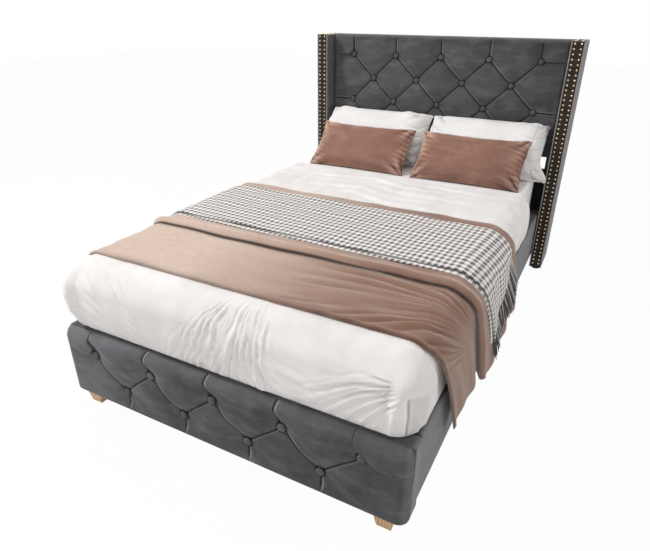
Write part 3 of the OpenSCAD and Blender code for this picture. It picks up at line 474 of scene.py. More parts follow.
def steel():
    """Zinc-plated steel with spangles."""
    g = Graph("steel_zinc", roughness=0.4, metallic=1.0)
    spangle = g.noise(60.0, detail=2.0, distortion=1.5)
    colour = g.blend(spangle, srgb(136, 140, 144), srgb(188, 192, 196))
    return g.finish(colour, g.noise(900.0), distance=0.0002, strength=0.3,
                    roughness=g.stretch(spangle, 0.3, 0.7, 0.32, 0.5))


def plastic():
    """Black moulded plastic with a fine grain."""
    g = Graph("plastic_black", roughness=0.5)
    grain = g.noise(1300.0, detail=2.0)
    colour = g.blend(g.noise(12.0), srgb(20, 20, 21), srgb(34, 34, 36))
    return g.finish(colour, grain, distance=0.0003, strength=0.35,
                    roughness=g.stretch(grain, 0.3, 0.7, 0.42, 0.6))


def make_materials():
    """All finishes of the bed, by short name."""
    pine = (176, 134, 84), (222, 188, 140)
    return {
        "head": velvet("velvet_charcoal", (64, 63, 65), (92, 91, 93), (130, 129, 133), 8.0, 0.16, contrast=1.15),
        "foot": velvet("velvet_grey", (64, 65, 67), (96, 97, 100), (142, 143, 146), 9.0, 0.16, contrast=1.25),
        "wing": velvet("velvet_wing", (64, 62, 62), (92, 89, 89), (125, 122, 122), 8.0, 0.2),
        "band": velvet("velvet_brown", (28, 23, 20), (58, 48, 41), (104, 90, 78), 30.0, 0.1, contrast=1.2),
        "piping": velvet("piping_grey", (120, 116, 118), (160, 156, 158), (196, 192, 194), 40.0, 0.3),
        "rose": velvet("velvet_rose", (128, 93, 80), (150, 111, 96), (196, 160, 143), 7.0, 0.35, (1.0, 0.9, 0.85, 1)),
        "cotton": cloth("cotton_white", (238, 234, 232), (250, 248, 247), 2600.0),
        "duvet": cloth("cotton_duvet", (230, 225, 222), (243, 239, 238), 2200.0),
        "pillow": cloth("cotton_pillow", (233, 229, 227), (247, 245, 243), 2600.0),
        # The velour's last tone is its painted sheen
        "mocha": cloth("velour_mocha", (124, 88, 71), (146, 108, 89), 1500.0, 0.3, 0.5, (1.0, 0.9, 0.84, 1),
                       fade=(230, 208, 192)),
        "gingham": gingham(),
        "fringe": yarn(),
        "ticking": cloth("mattress_cloth", (214, 210, 204), (236, 233, 228), 1100.0),
        "black": cloth("cloth_black", (22, 22, 24), (44, 44, 47), 1400.0),
        "pine": wood("wood_pine", *pine, "Y"),
        "pine_x": wood("wood_pine_across", *pine, "X"),
        "pine_z": wood("wood_pine_upright", *pine, "Z"),
        "ply": wood("wood_plywood", (168, 130, 88), (206, 172, 128), "X", rings=12.0),
        "oak": wood("wood_oak", (168, 122, 70), (222, 178, 118), "Z", roughness=0.42, coat=0.2, rings=34.0),
        "brass": brass(), "steel": steel(), "plastic": plastic(),
    }


M = {}


def material(name):
    """The finish of that short name. All of them are made at the first call."""
    if not M:
        M.update(make_materials())
    return M[name]


def dress(piece, name):
    """Gives the piece the finish of that short name."""
    piece.data.materials.clear()
    piece.data.materials.append(material(name))
    return piece


# ---------------------------------------------------------------- tufting

# Radius and height of a covered button from its back to its top
BUTTON = [(3.4, -3.0), (3.4, 3.2), (12.6, 3.4), (14.0, 4.6), (14.1, 5.8), (13.2, 7.6), (11.0, 9.2), (8.0, 10.3),
          (4.4, 10.9), (1.2, 11.0)]


def tuft(x, z, pitch, step, z_top, rows, amount):
    """Depth of tufting at x and z, with painted shade along the pleats and round the buttons and a
    painted highlight on the pleat rims. With c = x/pitch and r = (z_top − z)/step, buttons stand at
    whole numbers of p = c + r/2 and q = c − r/2, and the cloth between them is 1 − |sin πp · sin πq|^k.
    Above the first row and below the last the pleats run upright, and past the outermost buttons
    they run level."""
    c, r = x / pitch, (z_top - z) / step
    rc = np.clip(r, 0, rows - 1)
    beyond, outside = (r < 0) | (r > rows - 1), np.abs(c) > 2
    upright = c + np.where(r > rows - 1, 0.5, 0.0)
    p = np.where(beyond, upright, np.where(outside, rc / 2, c + rc / 2))
    q = np.where(beyond, upright, np.where(outside, -rc / 2, c - rc / 2))
    wide = np.where(outside & beyond, 0.0, 1.0)
    inside = np.abs(np.sin(math.pi * p) * np.sin(math.pi * q))
    puff = np.where(wide > 0, inside ** 0.44, 1.0)
    slope = math.hypot(1 / pitch, 0.5 / step)
    lean = np.where(beyond, 1 / pitch, np.where(outside, 0.5 / step, slope))
    dp = (p - np.round(p)) / lean
    dq = (q - np.round(q)) / lean
    near = np.minimum(np.abs(dp), np.abs(dq)) + (1 - wide) * 99
    button = np.full(np.shape(x), 1e6)
    for k in range(rows):
        off = (k % 2) / 2
        b = np.clip(np.round(c + off) - off, off - 2, 2 - off)
        button = np.minimum(button, np.hypot(x - b * pitch, z - z_top + k * step))
    well = np.exp(-(button / (0.17 * pitch)) ** 2)
    depth = amount * (0.62 * (1 - puff) + 0.38 * well)
    depth += 1.3 * ridge(near, 3.2)
    # The slanting fold whose line runs up to the right overlaps its lower side
    lip = np.where(dq > 0, ridge(dq - 6.0, 3.6), 0.0) * wide
    depth -= 1.7 * lip
    # Painted shade in the pleats, round each button and softly towards the pleats and buttons
    crease = np.clip(ridge(dq, 2.9) * 0.95 + ridge(dp, 2.6) * 0.9, 0, 1) * wide
    crease = np.maximum(crease, 0.85 * ridge(button - 15.4, 3.2))
    crease = np.clip(crease + 0.22 * ridge(near, 13) + 0.25 * ridge(button - 12, 15), 0, 1)
    # Painted highlight on the pleat rims
    rim = np.clip(lip * 0.6 + np.where(dp > 0, ridge(dp - 5.4, 2.6), 0) * 0.3 * wide, 0, 1)
    return depth, crease, rim


def buttons(name, y, pitch, step, z_top, rows, slot, finish):
    """Covered buttons in the wells of tufting: five to a row, and four in each second one."""
    centres = [((i - 2 + (k % 2) / 2) * pitch, y, z_top - k * step) for k in range(rows) for i in range(5 - k % 2)]
    points, faces = spin(BUTTON, centres, 24)
    marks = marked(points, crease=0, rim=0)
    return dress(build(name, points, faces, "bed_frame", attributes=marks), finish)


# ---------------------------------------------------------------- the frame's upholstery

class BedSettings(bpy.types.PropertyGroup):
    """Values that the pieces are built from."""

    head_tuft: FloatProperty(name="Headboard Tuft", description="Depth of a headboard tuft",
                             default=20.0, min=6.0, max=24.0)
    foot_tuft: FloatProperty(name="Footboard Tuft", description="Depth of a footboard tuft",
                             default=20.0, min=6.0, max=24.0)
    cell: FloatProperty(name="Mesh Cell", description="Size of the cells of the tufted pads in millimetres",
                        default=3.05, min=2.0, max=12.0)
    wrinkle: FloatProperty(name="Wrinkles", description="Height of the folds in the bedding, as a share",
                           default=1.0, min=0.0, max=2.0, subtype="FACTOR")
    strands: IntProperty(name="Fringe Strands", description="Number of strands along each hem of the throw",
                         default=88, min=12, max=140)
    fill: FloatProperty(name="Pillow Pressure", description="Pressure inside the pillows while they swell",
                        default=4.0, min=0.5, max=10.0)
    light: FloatProperty(name="Key Light", description="Power of the key light", default=132.0, min=1.0,
                         max=600.0, subtype="POWER", unit="POWER")


class HeadboardPad(bpy.types.Operator):
    """Builds the tufted cushioning of the headboard"""

    bl_idname = "bed.headboard_pad"
    bl_label = "Headboard Cushioning"

    def execute(self, context):
        s = context.scene.bed
        half = WING_IN - 0.6
        x = np.linspace(-half, half, int(2 * half / s.cell))
        roll = 18.0
        z = np.linspace(PANEL_Z + 8, HEAD_H - roll, int(550 / s.cell))
        under = np.radians(np.linspace(0, 80, 5))
        over = np.radians(np.linspace(0, 90, 12))[1:]
        # Heights and insets of the profile: a small roll below, the face, a larger roll above
        zz = np.concatenate([PANEL_Z + 8 - 8 * np.cos(under), z, HEAD_H - roll + roll * np.sin(over)])
        yy = np.concatenate([8 - 8 * np.sin(under), 0 * z, roll - roll * np.cos(over)])
        xx, hz = np.meshgrid(x, zz, indexing="ij")
        depth, crease, rim = tuft(xx, hz, *HEAD_TUFTS, s.head_tuft)
        edge = smooth((hz - PANEL_Z) / 40) * (0.25 + 0.75 * smooth((WING_IN - np.abs(xx)) / 40))
        rise = smooth((HEAD_H - 3 - hz) / 30)
        depth = depth * edge * rise + 2.2 * wobble(3, 9, 60, 190, xx, hz)
        depth += 10 * smooth((np.abs(xx) - WING_IN + 26) / 26) ** 2
        y = np.minimum(CROWN_Y + np.maximum(depth, -0.3) + yy[None], BOARD_Y - 0.5)
        front = np.stack([xx, y, hz], axis=-1)
        back = np.stack([np.repeat(x[:, None], 3, 1), np.full((len(x), 3), BOARD_Y),
                         np.repeat(np.array([[HEAD_H, 900.0, PANEL_Z]]), len(x), 0)], axis=-1)
        points, faces = loft(np.concatenate([front, back], axis=1))
        pad = np.zeros((len(x), 3))
        # Painted shade in the pleats and more of it towards the right; painted highlight on the pleat rims and along
        # the top edge
        crease = np.maximum(crease * edge * (0.2 + 0.8 * rise), 0.14 * smooth((xx - 80) / 480))
        rim = 1.3 * rim * edge * rise + 0.12 * smooth((hz - HEAD_H + 12) / 12)
        marks = {"crease": np.concatenate([crease, pad], 1), "rim": np.concatenate([rim, pad], 1)}
        piece = build("headboard_cushioning", points, faces, "bed_frame", attributes=marks)
        dress(piece, "head")
        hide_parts("headboard_pad")
        piece = buttons("headboard_button_set", CROWN_Y + s.head_tuft, *HEAD_TUFTS, "velvet_dark", "head")
        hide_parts("headboard_buttons")
        return {"FINISHED"}


class Wings(bpy.types.Operator):
    """Builds the padded wings with their bands, piping and domed nails"""

    bl_idname = "bed.wings"
    bl_label = "Wings"

    def execute(self, context):
        for side, word in ((-1, "left"), (1, "right")):
            self.cover(side, word)
            self.trim(side, word)
            self.nails(side, word)
        return {"FINISHED"}

    def cover(self, side, word):
        """Rings of a rounded rectangle up the wing, drawn in over its top and bottom."""
        y0, y1, z0, z1 = WING_Y + 2.0, WING_BACK, WING_Z, HEAD_H - 2.2
        ends = np.radians(np.linspace(90, 0, 6))
        heights = np.linspace(z0 + 14, z1 - 10, 90)
        zs = np.concatenate([z0 + 8 - 8 * np.sin(ends), heights, z1 - 6 + 6 * np.sin(ends[::-1])])
        inset = np.concatenate([8 - 8 * np.cos(ends), 0 * heights, 6 - 6 * np.cos(ends[::-1])])
        rings = tower(zip(zs, inset), (WING_IN, WING_OUT, y0, y1), 10, 6, 12)
        mid = np.clip(1 - ((rings[..., 1] - (y0 + y1) / 2) / 109) ** 2, 0, 1)
        sway = 1.4 * wobble(11 + side, 8, 70, 240, rings[..., 1], rings[..., 2])
        push = (1.2 + sway) * mid * np.sin(math.pi * np.clip((rings[..., 2] - z0) / (z1 - z0), 0, 1))
        out = rings[..., 0] > WING_MID
        inward = np.where(rings[..., 1] < CROWN_Y, -np.clip(push, 0, 2), 0)
        rings[..., 0] += np.where(out, np.minimum(push, 3), inward)
        rings[..., 0] *= side
        points, faces = loft(rings if side > 0 else rings[:, ::-1])
        # Painted light over the whole wing, strongest on its outer face
        painted_light = 0.75 * smooth((np.abs(points[:, 0]) - WING_OUT + 10) / 8) + 0.2
        piece = build(f"wing_upholstery_{word}", points, faces, "bed_frame",
                      attributes=marked(points, crease=0, rim=painted_light))
        dress(piece, "wing")
        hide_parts(f"wing_cover_{word}")

    def trim(self, side, word):
        """Slightly domed band and two cords along the front and over the top of the wing."""
        bend = np.radians(np.linspace(0, 90, 7))
        r = 5.0
        front = [(WING_Y, z) for z in np.linspace(18, HEAD_H - r - 2, 150)]
        corner = [(WING_Y + r - r * math.cos(a), HEAD_H - r + r * math.sin(a)) for a in bend]
        top = [(y, HEAD_H) for y in np.linspace(WING_Y + r + 3, WING_BACK - 0.5, 30)]
        path = np.array(front + corner + top)
        tangent = np.gradient(path, axis=0)
        tangent /= np.linalg.norm(tangent, axis=1, keepdims=True)
        normal = np.stack([-tangent[:, 1], tangent[:, 0]], axis=-1)
        low, high = WING_IN + 7.2, WING_OUT - 7.2
        across = np.linspace(low, high, 15)[None]
        dome = 1 - ((across - WING_MID) / (high - low) * 2) ** 2
        along = path[:, 1:] + path[:, :1]
        ripple = 0.35 * wobble(31 + side, 7, 14, 60, across + 0 * along, along + 0 * across)
        lift = -1.2 + 1.1 * dome ** 0.5 + ripple

        def over(height):
            """The path across the wing, raised by a height."""
            grid = np.stack([across + 0 * height, path[:, :1] + normal[:, :1] * height,
                             path[:, 1:] + normal[:, 1:] * height], axis=-1)
            grid[..., 0] *= side
            return grid if side < 0 else grid[:, ::-1]
        points, faces = shell(over(lift), over(0 * lift - 2.6))
        band = build(f"wing_band_cloth_{word}", points, faces, "bed_frame",
                     attributes=marked(points, crease=0, rim=0))
        dress(band, "band")
        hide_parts(f"wing_band_{word}")
        angle = np.linspace(0, 2 * math.pi, 13)[:-1]
        cords = []
        for x, radius in ((WING_IN + 3.4, 3.0), (WING_OUT - 3.6, 3.6)):
            centre = path - normal * (radius - 0.6)
            up = radius * np.sin(angle)
            ring = np.stack([side * (x + radius * np.cos(angle) + 0 * path[:, :1]),
                             centre[:, :1] + normal[:, :1] * up, centre[:, 1:] + normal[:, 1:] * up], axis=-1)
            cords.append(loft(ring if side > 0 else ring[:, ::-1]))
        points, faces = joined(cords)
        piping = build(f"wing_piping_cord_{word}", points, faces, "bed_frame",
                       attributes=marked(points, crease=0, rim=0))
        dress(piping, "piping")
        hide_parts(f"wing_piping_{word}")

    def nails(self, side, word):
        """Domed heads in two rows down the front and along the top."""
        dome = [(4.4, -0.6), (5.0, 0.0), (4.9, 0.5), (4.3, 1.8), (2.9, 2.75), (1.3, 3.15), (0.3, 3.2)]
        rows = (WING_MID - 15, WING_MID + 15)
        z = HEAD_H - NAIL_OFF - np.arange(50) * NAIL_PITCH
        y = WING_Y + NAIL_OFF + np.arange(9) * NAIL_PITCH
        front = [(side * x, WING_Y - 0.1, h) for x in rows for h in z[z > WING_Z + 5]]
        top = [(side * x, d, HEAD_H + 0.1) for x in rows for d in y[y < WING_BACK - 6]]
        points, faces = joined([spin(dome, front, 12), spin(dome, top, 12, "z")])
        nails = build(f"wing_nail_heads_{word}", points, faces, "bed_frame")
        dress(nails, "brass")
        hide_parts(f"wing_nails_{word}")


class Footboard(bpy.types.Operator):
    """Builds the tufted footboard pad with its rolled top and ends, and the cover behind it"""

    bl_idname = "bed.footboard"
    bl_label = "Footboard"

    def execute(self, context):
        s = context.scene.bed
        r, top = FOOT_ROLL, RAIL_TOP
        face_x = FOOT_X - r
        turn = np.radians(np.linspace(0, 90, 14))
        straight = np.linspace(-face_x, face_x, int(2 * face_x / s.cell))[1:-1]
        cx = np.concatenate([-face_x - r * np.cos(turn), straight, face_x + r * np.cos(turn[::-1])])
        cy = np.concatenate([r - r * np.sin(turn), 0 * straight, r - r * np.sin(turn[::-1])])
        z = np.linspace(FLOOR_GAP + 9, top - r, int(220 / s.cell))
        under = np.radians(np.linspace(5, 75, 4))
        over = np.radians(np.linspace(0, 90, 14))[1:]
        zz = np.concatenate([FLOOR_GAP + 9 - 9 * np.cos(under), z, top - r + r * np.sin(over)])
        inset = np.concatenate([9 - 9 * np.sin(under), 0 * z, r - r * np.cos(over)])
        xx, hz = np.meshgrid(cx, zz, indexing="ij")
        # The pleats lean left as they go over the roll, and the slanting ones bow a little
        lean = 26 * smooth((hz - 245) / 60) + 5 * np.sin((hz - 133) / 112 * math.pi) * smooth((245 - hz) / 60)
        dip = 9 * np.sin(math.pi * smooth((np.abs(xx) - 517) / 110)) - 12 * smooth((np.abs(xx) - 570) / 80)
        depth, crease, rim = tuft(xx + lean, hz + dip, *FOOT_TUFTS, s.foot_tuft)
        edge = smooth((face_x + 20 - np.abs(xx)) / 46)
        low = smooth((hz - FLOOR_GAP) / 34)
        high = 0.5 + 0.5 * smooth((top - 8 - hz) / 36)
        depth = depth * edge * low * high + 1.6 * wobble(7, 9, 50, 170, xx, hz) * low * high * edge
        depth = np.maximum(depth, -1.5)
        # Inset of each ring from the flat face: inwards round the ends, backwards in front
        side = np.clip((np.abs(xx) - face_x) / r, 0, 1)
        x = xx - np.sign(xx) * side * 0.3 * inset[None]
        y = cy[:, None] + (r - cy[:, None]) / r * inset[None] + depth * (1 - side)
        y = np.minimum(y, FOOT_PAD - 0.6)
        front = np.stack([x, y, hz], axis=-1)
        nx = len(cx)
        back = np.stack([np.repeat(x[:, -1:], 3, 1), np.full((nx, 3), FOOT_PAD - 0.4),
                         np.repeat(np.array([[top - 1, 190.0, FLOOR_GAP + 1]]), nx, 0)], axis=-1)
        back[:, 1:, 0] = cx[:, None]
        points, faces = loft(np.concatenate([front, back], axis=1))
        pad = np.zeros((nx, 3))
        ends = smooth((FOOT_X + 4 - np.abs(xx)) / 20)
        # Painted shade in the pleats, growing towards the right and at the very ends; painted light towards the left,
        # round the ends and over the top roll
        crease = crease * ends * (0.3 + 0.7 * low) * (1 - 0.7 * smooth((np.abs(xx) - 590) / 40))
        crease = np.maximum(crease, 0.19 * smooth((xx + 620) / 1200)) + 0.25 * side ** 12
        painted_light = 0.28 * smooth((-x - 250) / 350) + 0.3 * smooth((side - 0.35) / 0.5) + 0.12 * smooth((hz - 270) / 40)
        rim = np.clip(1.7 * rim * ends * low + painted_light, 0, 1)
        marks = {"crease": np.concatenate([crease, pad], 1), "rim": np.concatenate([rim, pad], 1)}
        piece = build("footboard_cushioning", points, faces, "bed_frame", attributes=marks)
        dress(piece, "foot")
        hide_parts("footboard_pad")
        piece = buttons("footboard_button_set", s.foot_tuft - 1.5, *FOOT_TUFTS, "velvet_grey", "foot")
        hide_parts("footboard_buttons")
        self.cover()
        return {"FINISHED"}

    def cover(self):
        """Cover behind the pad: rings of a rounded rectangle from end to end."""
        bend = np.radians(np.linspace(90, 0, 6))
        end = np.full(4, FOOT_X)
        middle = np.linspace(FOOT_X - 12, -FOOT_X + 12, 160)
        xs = np.concatenate([end, FOOT_X - 6 + 6 * np.sin(bend), middle, -FOOT_X + 6 - 6 * np.sin(bend[::-1]), -end])
        drawn, turned = np.array([26.0, 20.0, 14.0, 9.0]), 6 - 6 * np.cos(bend)
        inset = np.concatenate([drawn, turned, 0 * middle, turned[::-1], drawn[::-1]])
        rings = tower(zip(xs, inset), (FOOT_PAD - 14, FOOT_T - 0.3, FLOOR_GAP, RAIL_TOP), 9, 5, 8)
        rings = rings[..., [2, 0, 1]]
        rings[..., 1] = np.maximum(rings[..., 1], FOOT_PAD - 0.3)
        wave = 0.8 * wobble(17, 8, 60, 200, rings[..., 0], rings[..., 2])
        back = rings[..., 1] > FOOT_T - 2
        rings[..., 1] -= np.where(back, 0.9 + 0.5 * wave, 0)
        points, faces = loft(rings[::-1])
        # Painted shade along the seam at each end, and painted light over the end faces
        seam = 0.3 * ridge(points[:, 1] - FOOT_PAD - 0.5, 2.5) * smooth((np.abs(points[:, 0]) - 640) / 10)
        painted_light = 0.58 * smooth((np.abs(points[:, 0]) - 640) / 12)
        piece = build("footboard_back_cover", points, faces, "bed_frame",
                      attributes={"crease": seam, "rim": painted_light})
        dress(piece, "foot")
        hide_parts("footboard_cover")


class Rails(bpy.types.Operator):
    """Builds the padded covers of the side rails"""

    bl_idname = "bed.rails"
    bl_label = "Side Rails"

    def execute(self, context):
        ys = np.linspace(FOOT_T + 0.3, RAIL_END - 0.3, 260)
        for side, word in ((-1, "left"), (1, "right")):
            ring = rounded_ring(RAIL_IN, RAIL_X, FLOOR_GAP, RAIL_TOP, 11, 6, 12)
            rings = np.stack(np.broadcast_arrays(ring[None, :, 0], ys[:, None], ring[None, :, 1]), axis=-1)
            out = np.clip((rings[..., 0] - RAIL_IN - 30) / 20, 0, 1)
            mid = np.sin(math.pi * np.clip((rings[..., 2] - FLOOR_GAP) / (RAIL_TOP - FLOOR_GAP), 0, 1)) ** 0.5
            wave = wobble(21 + side, 10, 90, 330, rings[..., 1] * 0.6, rings[..., 2] * 1.3)
            rings[..., 0] += out * mid * (1.0 + 0.8 * wave)
            rings[..., 0] *= side
            points, faces = loft(rings[::-1] if side > 0 else rings)
            # Painted shade along the seams at the foot end and the bottom, and painted light on the outer face
            seam = 0.5 * ridge(points[:, 1] - FOOT_T, 7) + 0.5 * ridge(points[:, 2] - FLOOR_GAP - 6, 5)
            painted_light = 0.5 * smooth((np.abs(points[:, 0]) - RAIL_X + 12) / 10)
            piece = build(f"rail_upholstery_{word}", points, faces, "bed_frame",
                          attributes={"crease": seam, "rim": painted_light})
            dress(piece, "foot")
            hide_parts(f"rail_cover_{word}")
        return {"FINISHED"}


class Timber(bpy.types.Operator):
    """Gives the boards, rails, slats, brackets, feet and glides their own finishes"""

    bl_idname = "bed.timber"
    bl_label = "Frame Finishes"

    finishes = {
        "head": ("headboard_top_band",),
        "wing": ("headboard_stiles",),
        "black": ("headboard_rear_cloth", "headboard_lower_board"),
        "ply": ("headboard_back_board", "wing_board_left", "wing_board_right", "footboard_board",
                "rail_board_left", "rail_board_right"),
        "pine": ("slat_ledge_left", "slat_ledge_right", "centre_beam"),
        "pine_x": ("headboard_top_rail", "headboard_bottom_rail", "slats"),
        "pine_z": ("centre_legs",),
        "oak": ("front_feet",),
        "steel": ("corner_brackets", "bracket_bolts", "foot_bolts", "beam_brackets", "slat_screws"),
        "plastic": ("wing_glides", "centre_leg_glides"),
    }
    bevels = {"headboard_top_band": 3.0, "front_feet": 2.5, "slats": 2.0, "centre_beam": 2.0,
              "headboard_stiles": 1.5, "headboard_top_rail": 1.5, "headboard_bottom_rail": 1.5,
              "wing_glides": 2.0, "centre_leg_glides": 1.5, "headboard_rear_cloth": 1.0,
              "headboard_lower_board": 1.5, "slat_ledge_left": 1.5, "slat_ledge_right": 1.5}

    def execute(self, context):
        for name, nodes in self.finishes.items():
            for piece in (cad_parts[node] for node in nodes):
                if not piece.material_slots:
                    piece.data.materials.append(material(name))
                for slot in piece.material_slots:
                    slot.material = material(name)
        for node, width in self.bevels.items():
            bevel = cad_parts[node].modifiers.new("Soft edges", "BEVEL")
            bevel.width = width / 1000
            bevel.segments = 3
            bevel.limit_method = "ANGLE"
        return {"FINISHED"}


# ---------------------------------------------------------------- bedding

def laid(s, t, h, extra):
    """Point of a cover laid over the bed, at s across and t along the flat cloth, lifted by
    h: flat on top, round the edge on a radius, then straight down, and round the foot corners
    with the corner. Extra is a further push outwards."""
    dx, dy = np.maximum(0, np.abs(s) - FLAT_X), np.maximum(0, FLAT_Y - t)
    r = np.maximum(dx, dy)
    big = np.maximum(r, 1e-9)
    turn = np.where(dx >= dy, math.pi / 4 * dy / big, math.pi / 2 - math.pi / 4 * dx / big)
    a = np.minimum(r / EDGE_R, math.pi / 2)
    out = np.where(r > 0, (EDGE_R + h) * np.sin(a) + extra, 0.0)
    z = DUVET_Z - EDGE_R + (EDGE_R + h) * np.cos(a) - np.maximum(0, r - EDGE_ARC)
    x = np.sign(s) * (np.minimum(np.abs(s), FLAT_X) + out * np.cos(turn))
    y = np.maximum(t, FLAT_Y) - out * np.sin(turn)
    return np.stack(np.broadcast_arrays(x, y, z), axis=-1)


def lining(s, t):
    """Point on the inside of the duvet under the same place of the flat cloth."""
    dx, dy = np.maximum(0, np.abs(s) - FLAT_X), np.maximum(0, FLAT_Y - t)
    r = np.maximum(dx, dy)
    f = r / EDGE_ARC
    out = np.where(r > 0, np.minimum(1, 2 * f) / np.maximum(r, 1e-9), 0.0)
    low = DUVET_Z - EDGE_R
    x = np.sign(s) * (np.minimum(np.abs(s), FLAT_X) + (DUVET_IN_X - FLAT_X) * out * dx)
    y = np.maximum(t, FLAT_Y) - (FLAT_Y - DUVET_IN_Y) * out * dy
    bend = np.where(f <= 1, mix(DUVET_IN_Z, low, 2 * f - 1), low - (r - EDGE_ARC))
    z = np.where(f <= 0.5, DUVET_IN_Z, bend)
    return np.stack(np.broadcast_arrays(x, y, z), axis=-1)


def swing(d, t):
    """Push of the hanging cloth away from the bed, which only grows downwards."""
    f = 1 - np.exp(-np.maximum(0, d - 20) / 130)
    return f * (18 + 9 * (1 + np.sin(np.radians(t * 1.35))) + 4 * (1 + np.sin(np.radians(t * 0.62 + 40))))


def hang(z):
    """Length of cloth from the flat top down to a height."""
    return EDGE_ARC + DUVET_Z - EDGE_R - z


def cover_point(s, t, h, lift=0.0):
    """Point of a cloth over the duvet, h above it, with lift as a further push outwards that
    only the hanging part takes."""
    side = np.maximum(0, np.abs(s) - FLAT_X)
    push = 5.7 * smooth(side / EDGE_ARC) + swing(side - EDGE_ARC * 0.5, t) + lift
    p = laid(s, t, h, push)
    p[..., 1] += 0.5 * np.maximum(0, side - EDGE_ARC * 0.4)
    return p


def spaced(low, high, step):
    """Numbers from low to high, about a step apart."""
    return np.linspace(low, high, max(2, int(round((high - low) / step)) + 1))


def over_bed(t, hem, n_side, n_top):
    """Grid of s and t of a cloth that lies across the bed and hangs down by hem at both
    sides, with the hem of each point and how far it is past the flat top."""
    side, top = np.linspace(0, 1, n_side), np.linspace(0, 1, n_top)[1:-1]
    far, tt = np.meshgrid(np.ones(2 * n_side + n_top - 2), t, indexing="ij")
    far = far * hem
    ss = np.concatenate([-FLAT_X - side[::-1, None] * far[:n_side],
                         -FLAT_X + 2 * FLAT_X * top[:, None] + 0 * far[:n_top - 2],
                         FLAT_X + side[:, None] * far[:n_side]])
    return ss, tt, far, np.maximum(0, np.abs(ss) - FLAT_X)


class Mattress(bpy.types.Operator):
    """Builds the mattress with its rounded edges and the fitted sheet over it"""

    bl_idname = "bed.mattress"
    bl_label = "Mattress and Sheet"

    def execute(self, context):
        z0, z1 = SLAT_TOP + 0.2, SLAT_TOP + MATTRESS_H
        r = MATTRESS_EDGE
        turn = [(r - r * math.sin(a), r - r * math.cos(a)) for a in np.radians(np.linspace(0, 90, 7))]
        # Heights and insets of the side, with a taped edge below and above
        profile = [(z0 + 2 + low, inset) for inset, low in turn]
        profile += [(z0 + 20, 1.0), (z0 + 24, 2.5), (z0 + 30, 2.0)]
        profile += [(z, 1.6) for z in np.linspace(z0 + 40, z1 - 40, 12)]
        profile += [(z1 - 30, 2.0), (z1 - 24, 2.5), (z1 - 20, 1.0)]
        profile += [(z1 - 2 - low, inset) for low, inset in turn]
        rings = tower(profile, MATTRESS_BOX, MATTRESS_CORNER, 8, 40)
        # Further rings close the top and the bottom towards the middle, with shallow quilting
        below, above = self.lid(rings[0], 26, 0.02), self.lid(rings[-1], 26, 0.02)
        below[..., 2] = z0 + 1.2 - 1.2 * self.quilt(below) + 1.4
        above[..., 2] = z1 - 0.4 + 1.2 * self.quilt(above) - 1.4
        points, faces = loft(np.concatenate([below[::-1], rings, above]))
        core = dress(build("mattress_core", points, faces, "mattress"), "ticking")
        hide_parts("mattress")
        self.fitted_sheet()
        return {"FINISHED"}

    @staticmethod
    def lid(ring, count, last):
        """Copies of a ring drawn in towards the middle of the bed, down to a last share."""
        middle = np.array([0, (MATTRESS_BOX[2] + MATTRESS_BOX[3]) / 2, 0])
        return middle + (ring - middle) * np.linspace(1, last, count)[1:, None, None]

    @staticmethod
    def quilt(points):
        """1 − |sin(πx/cell) · sin(πy/cell)|, the seams between square cells."""
        turn = points[..., :2] / QUILT_CELL * math.pi
        return 1 - np.abs(np.sin(turn[..., 0]) * np.sin(turn[..., 1]))

    def fitted_sheet(self):
        """Thin skin over the mattress top and down its sides to an elastic hem."""
        r = MATTRESS_EDGE
        profile = [(z, 0.3) for z in np.linspace(SLAT_TOP + 60, SHEET_TOP - 16, 18)]
        profile += [(SHEET_TOP - r + r * math.sin(a), r - r * math.cos(a)) for a in np.radians(np.linspace(0, 90, 8))]
        rings = tower(profile, SHEET_BOX, MATTRESS_CORNER, 8, 60)
        lid = self.lid(rings[-1], 40, 0.03)
        lid[..., 2] = SHEET_TOP - 0.2 * (1 + np.sin(lid[..., 1] / 60) * np.sin(lid[..., 0] / 45))
        outer = np.concatenate([rings, lid])
        low = smooth((SHEET_TOP - 20 - outer[..., 2]) / 60)
        tuck = 0.25 * low * np.sin(np.arange(outer.shape[1]) * 1.9)
        away = outer - [0, (SHEET_BOX[2] + SHEET_BOX[3]) / 2, 0]
        away[..., 2] = 0
        away /= np.linalg.norm(away, axis=-1, keepdims=True)
        outer += away * tuck[..., None]
        up = smooth((outer[..., 2:] - SHEET_TOP + r) / r)
        inner = outer - away * (1 - up)
        inner[..., 2:] -= up
        nu, nv = outer.shape[:2]
        n = nu * nv
        top = grid_quads(nu, nv, wrap_v=True)
        k = np.arange(nv)
        rim = np.stack([k, n + k, n + (k + 1) % nv, (k + 1) % nv], axis=-1)
        end = list(range(n - nv, n))
        faces = [top, n + top[:, ::-1], rim[:, ::-1], end, [n + v for v in end[::-1]]]
        points = np.concatenate([outer.reshape(-1, 3), inner.reshape(-1, 3)])
        piece = build("bed_sheet", points, faces, "mattress", attributes=marked(points, crease=0))
        dress(piece, "cotton")
        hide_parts("fitted_sheet")


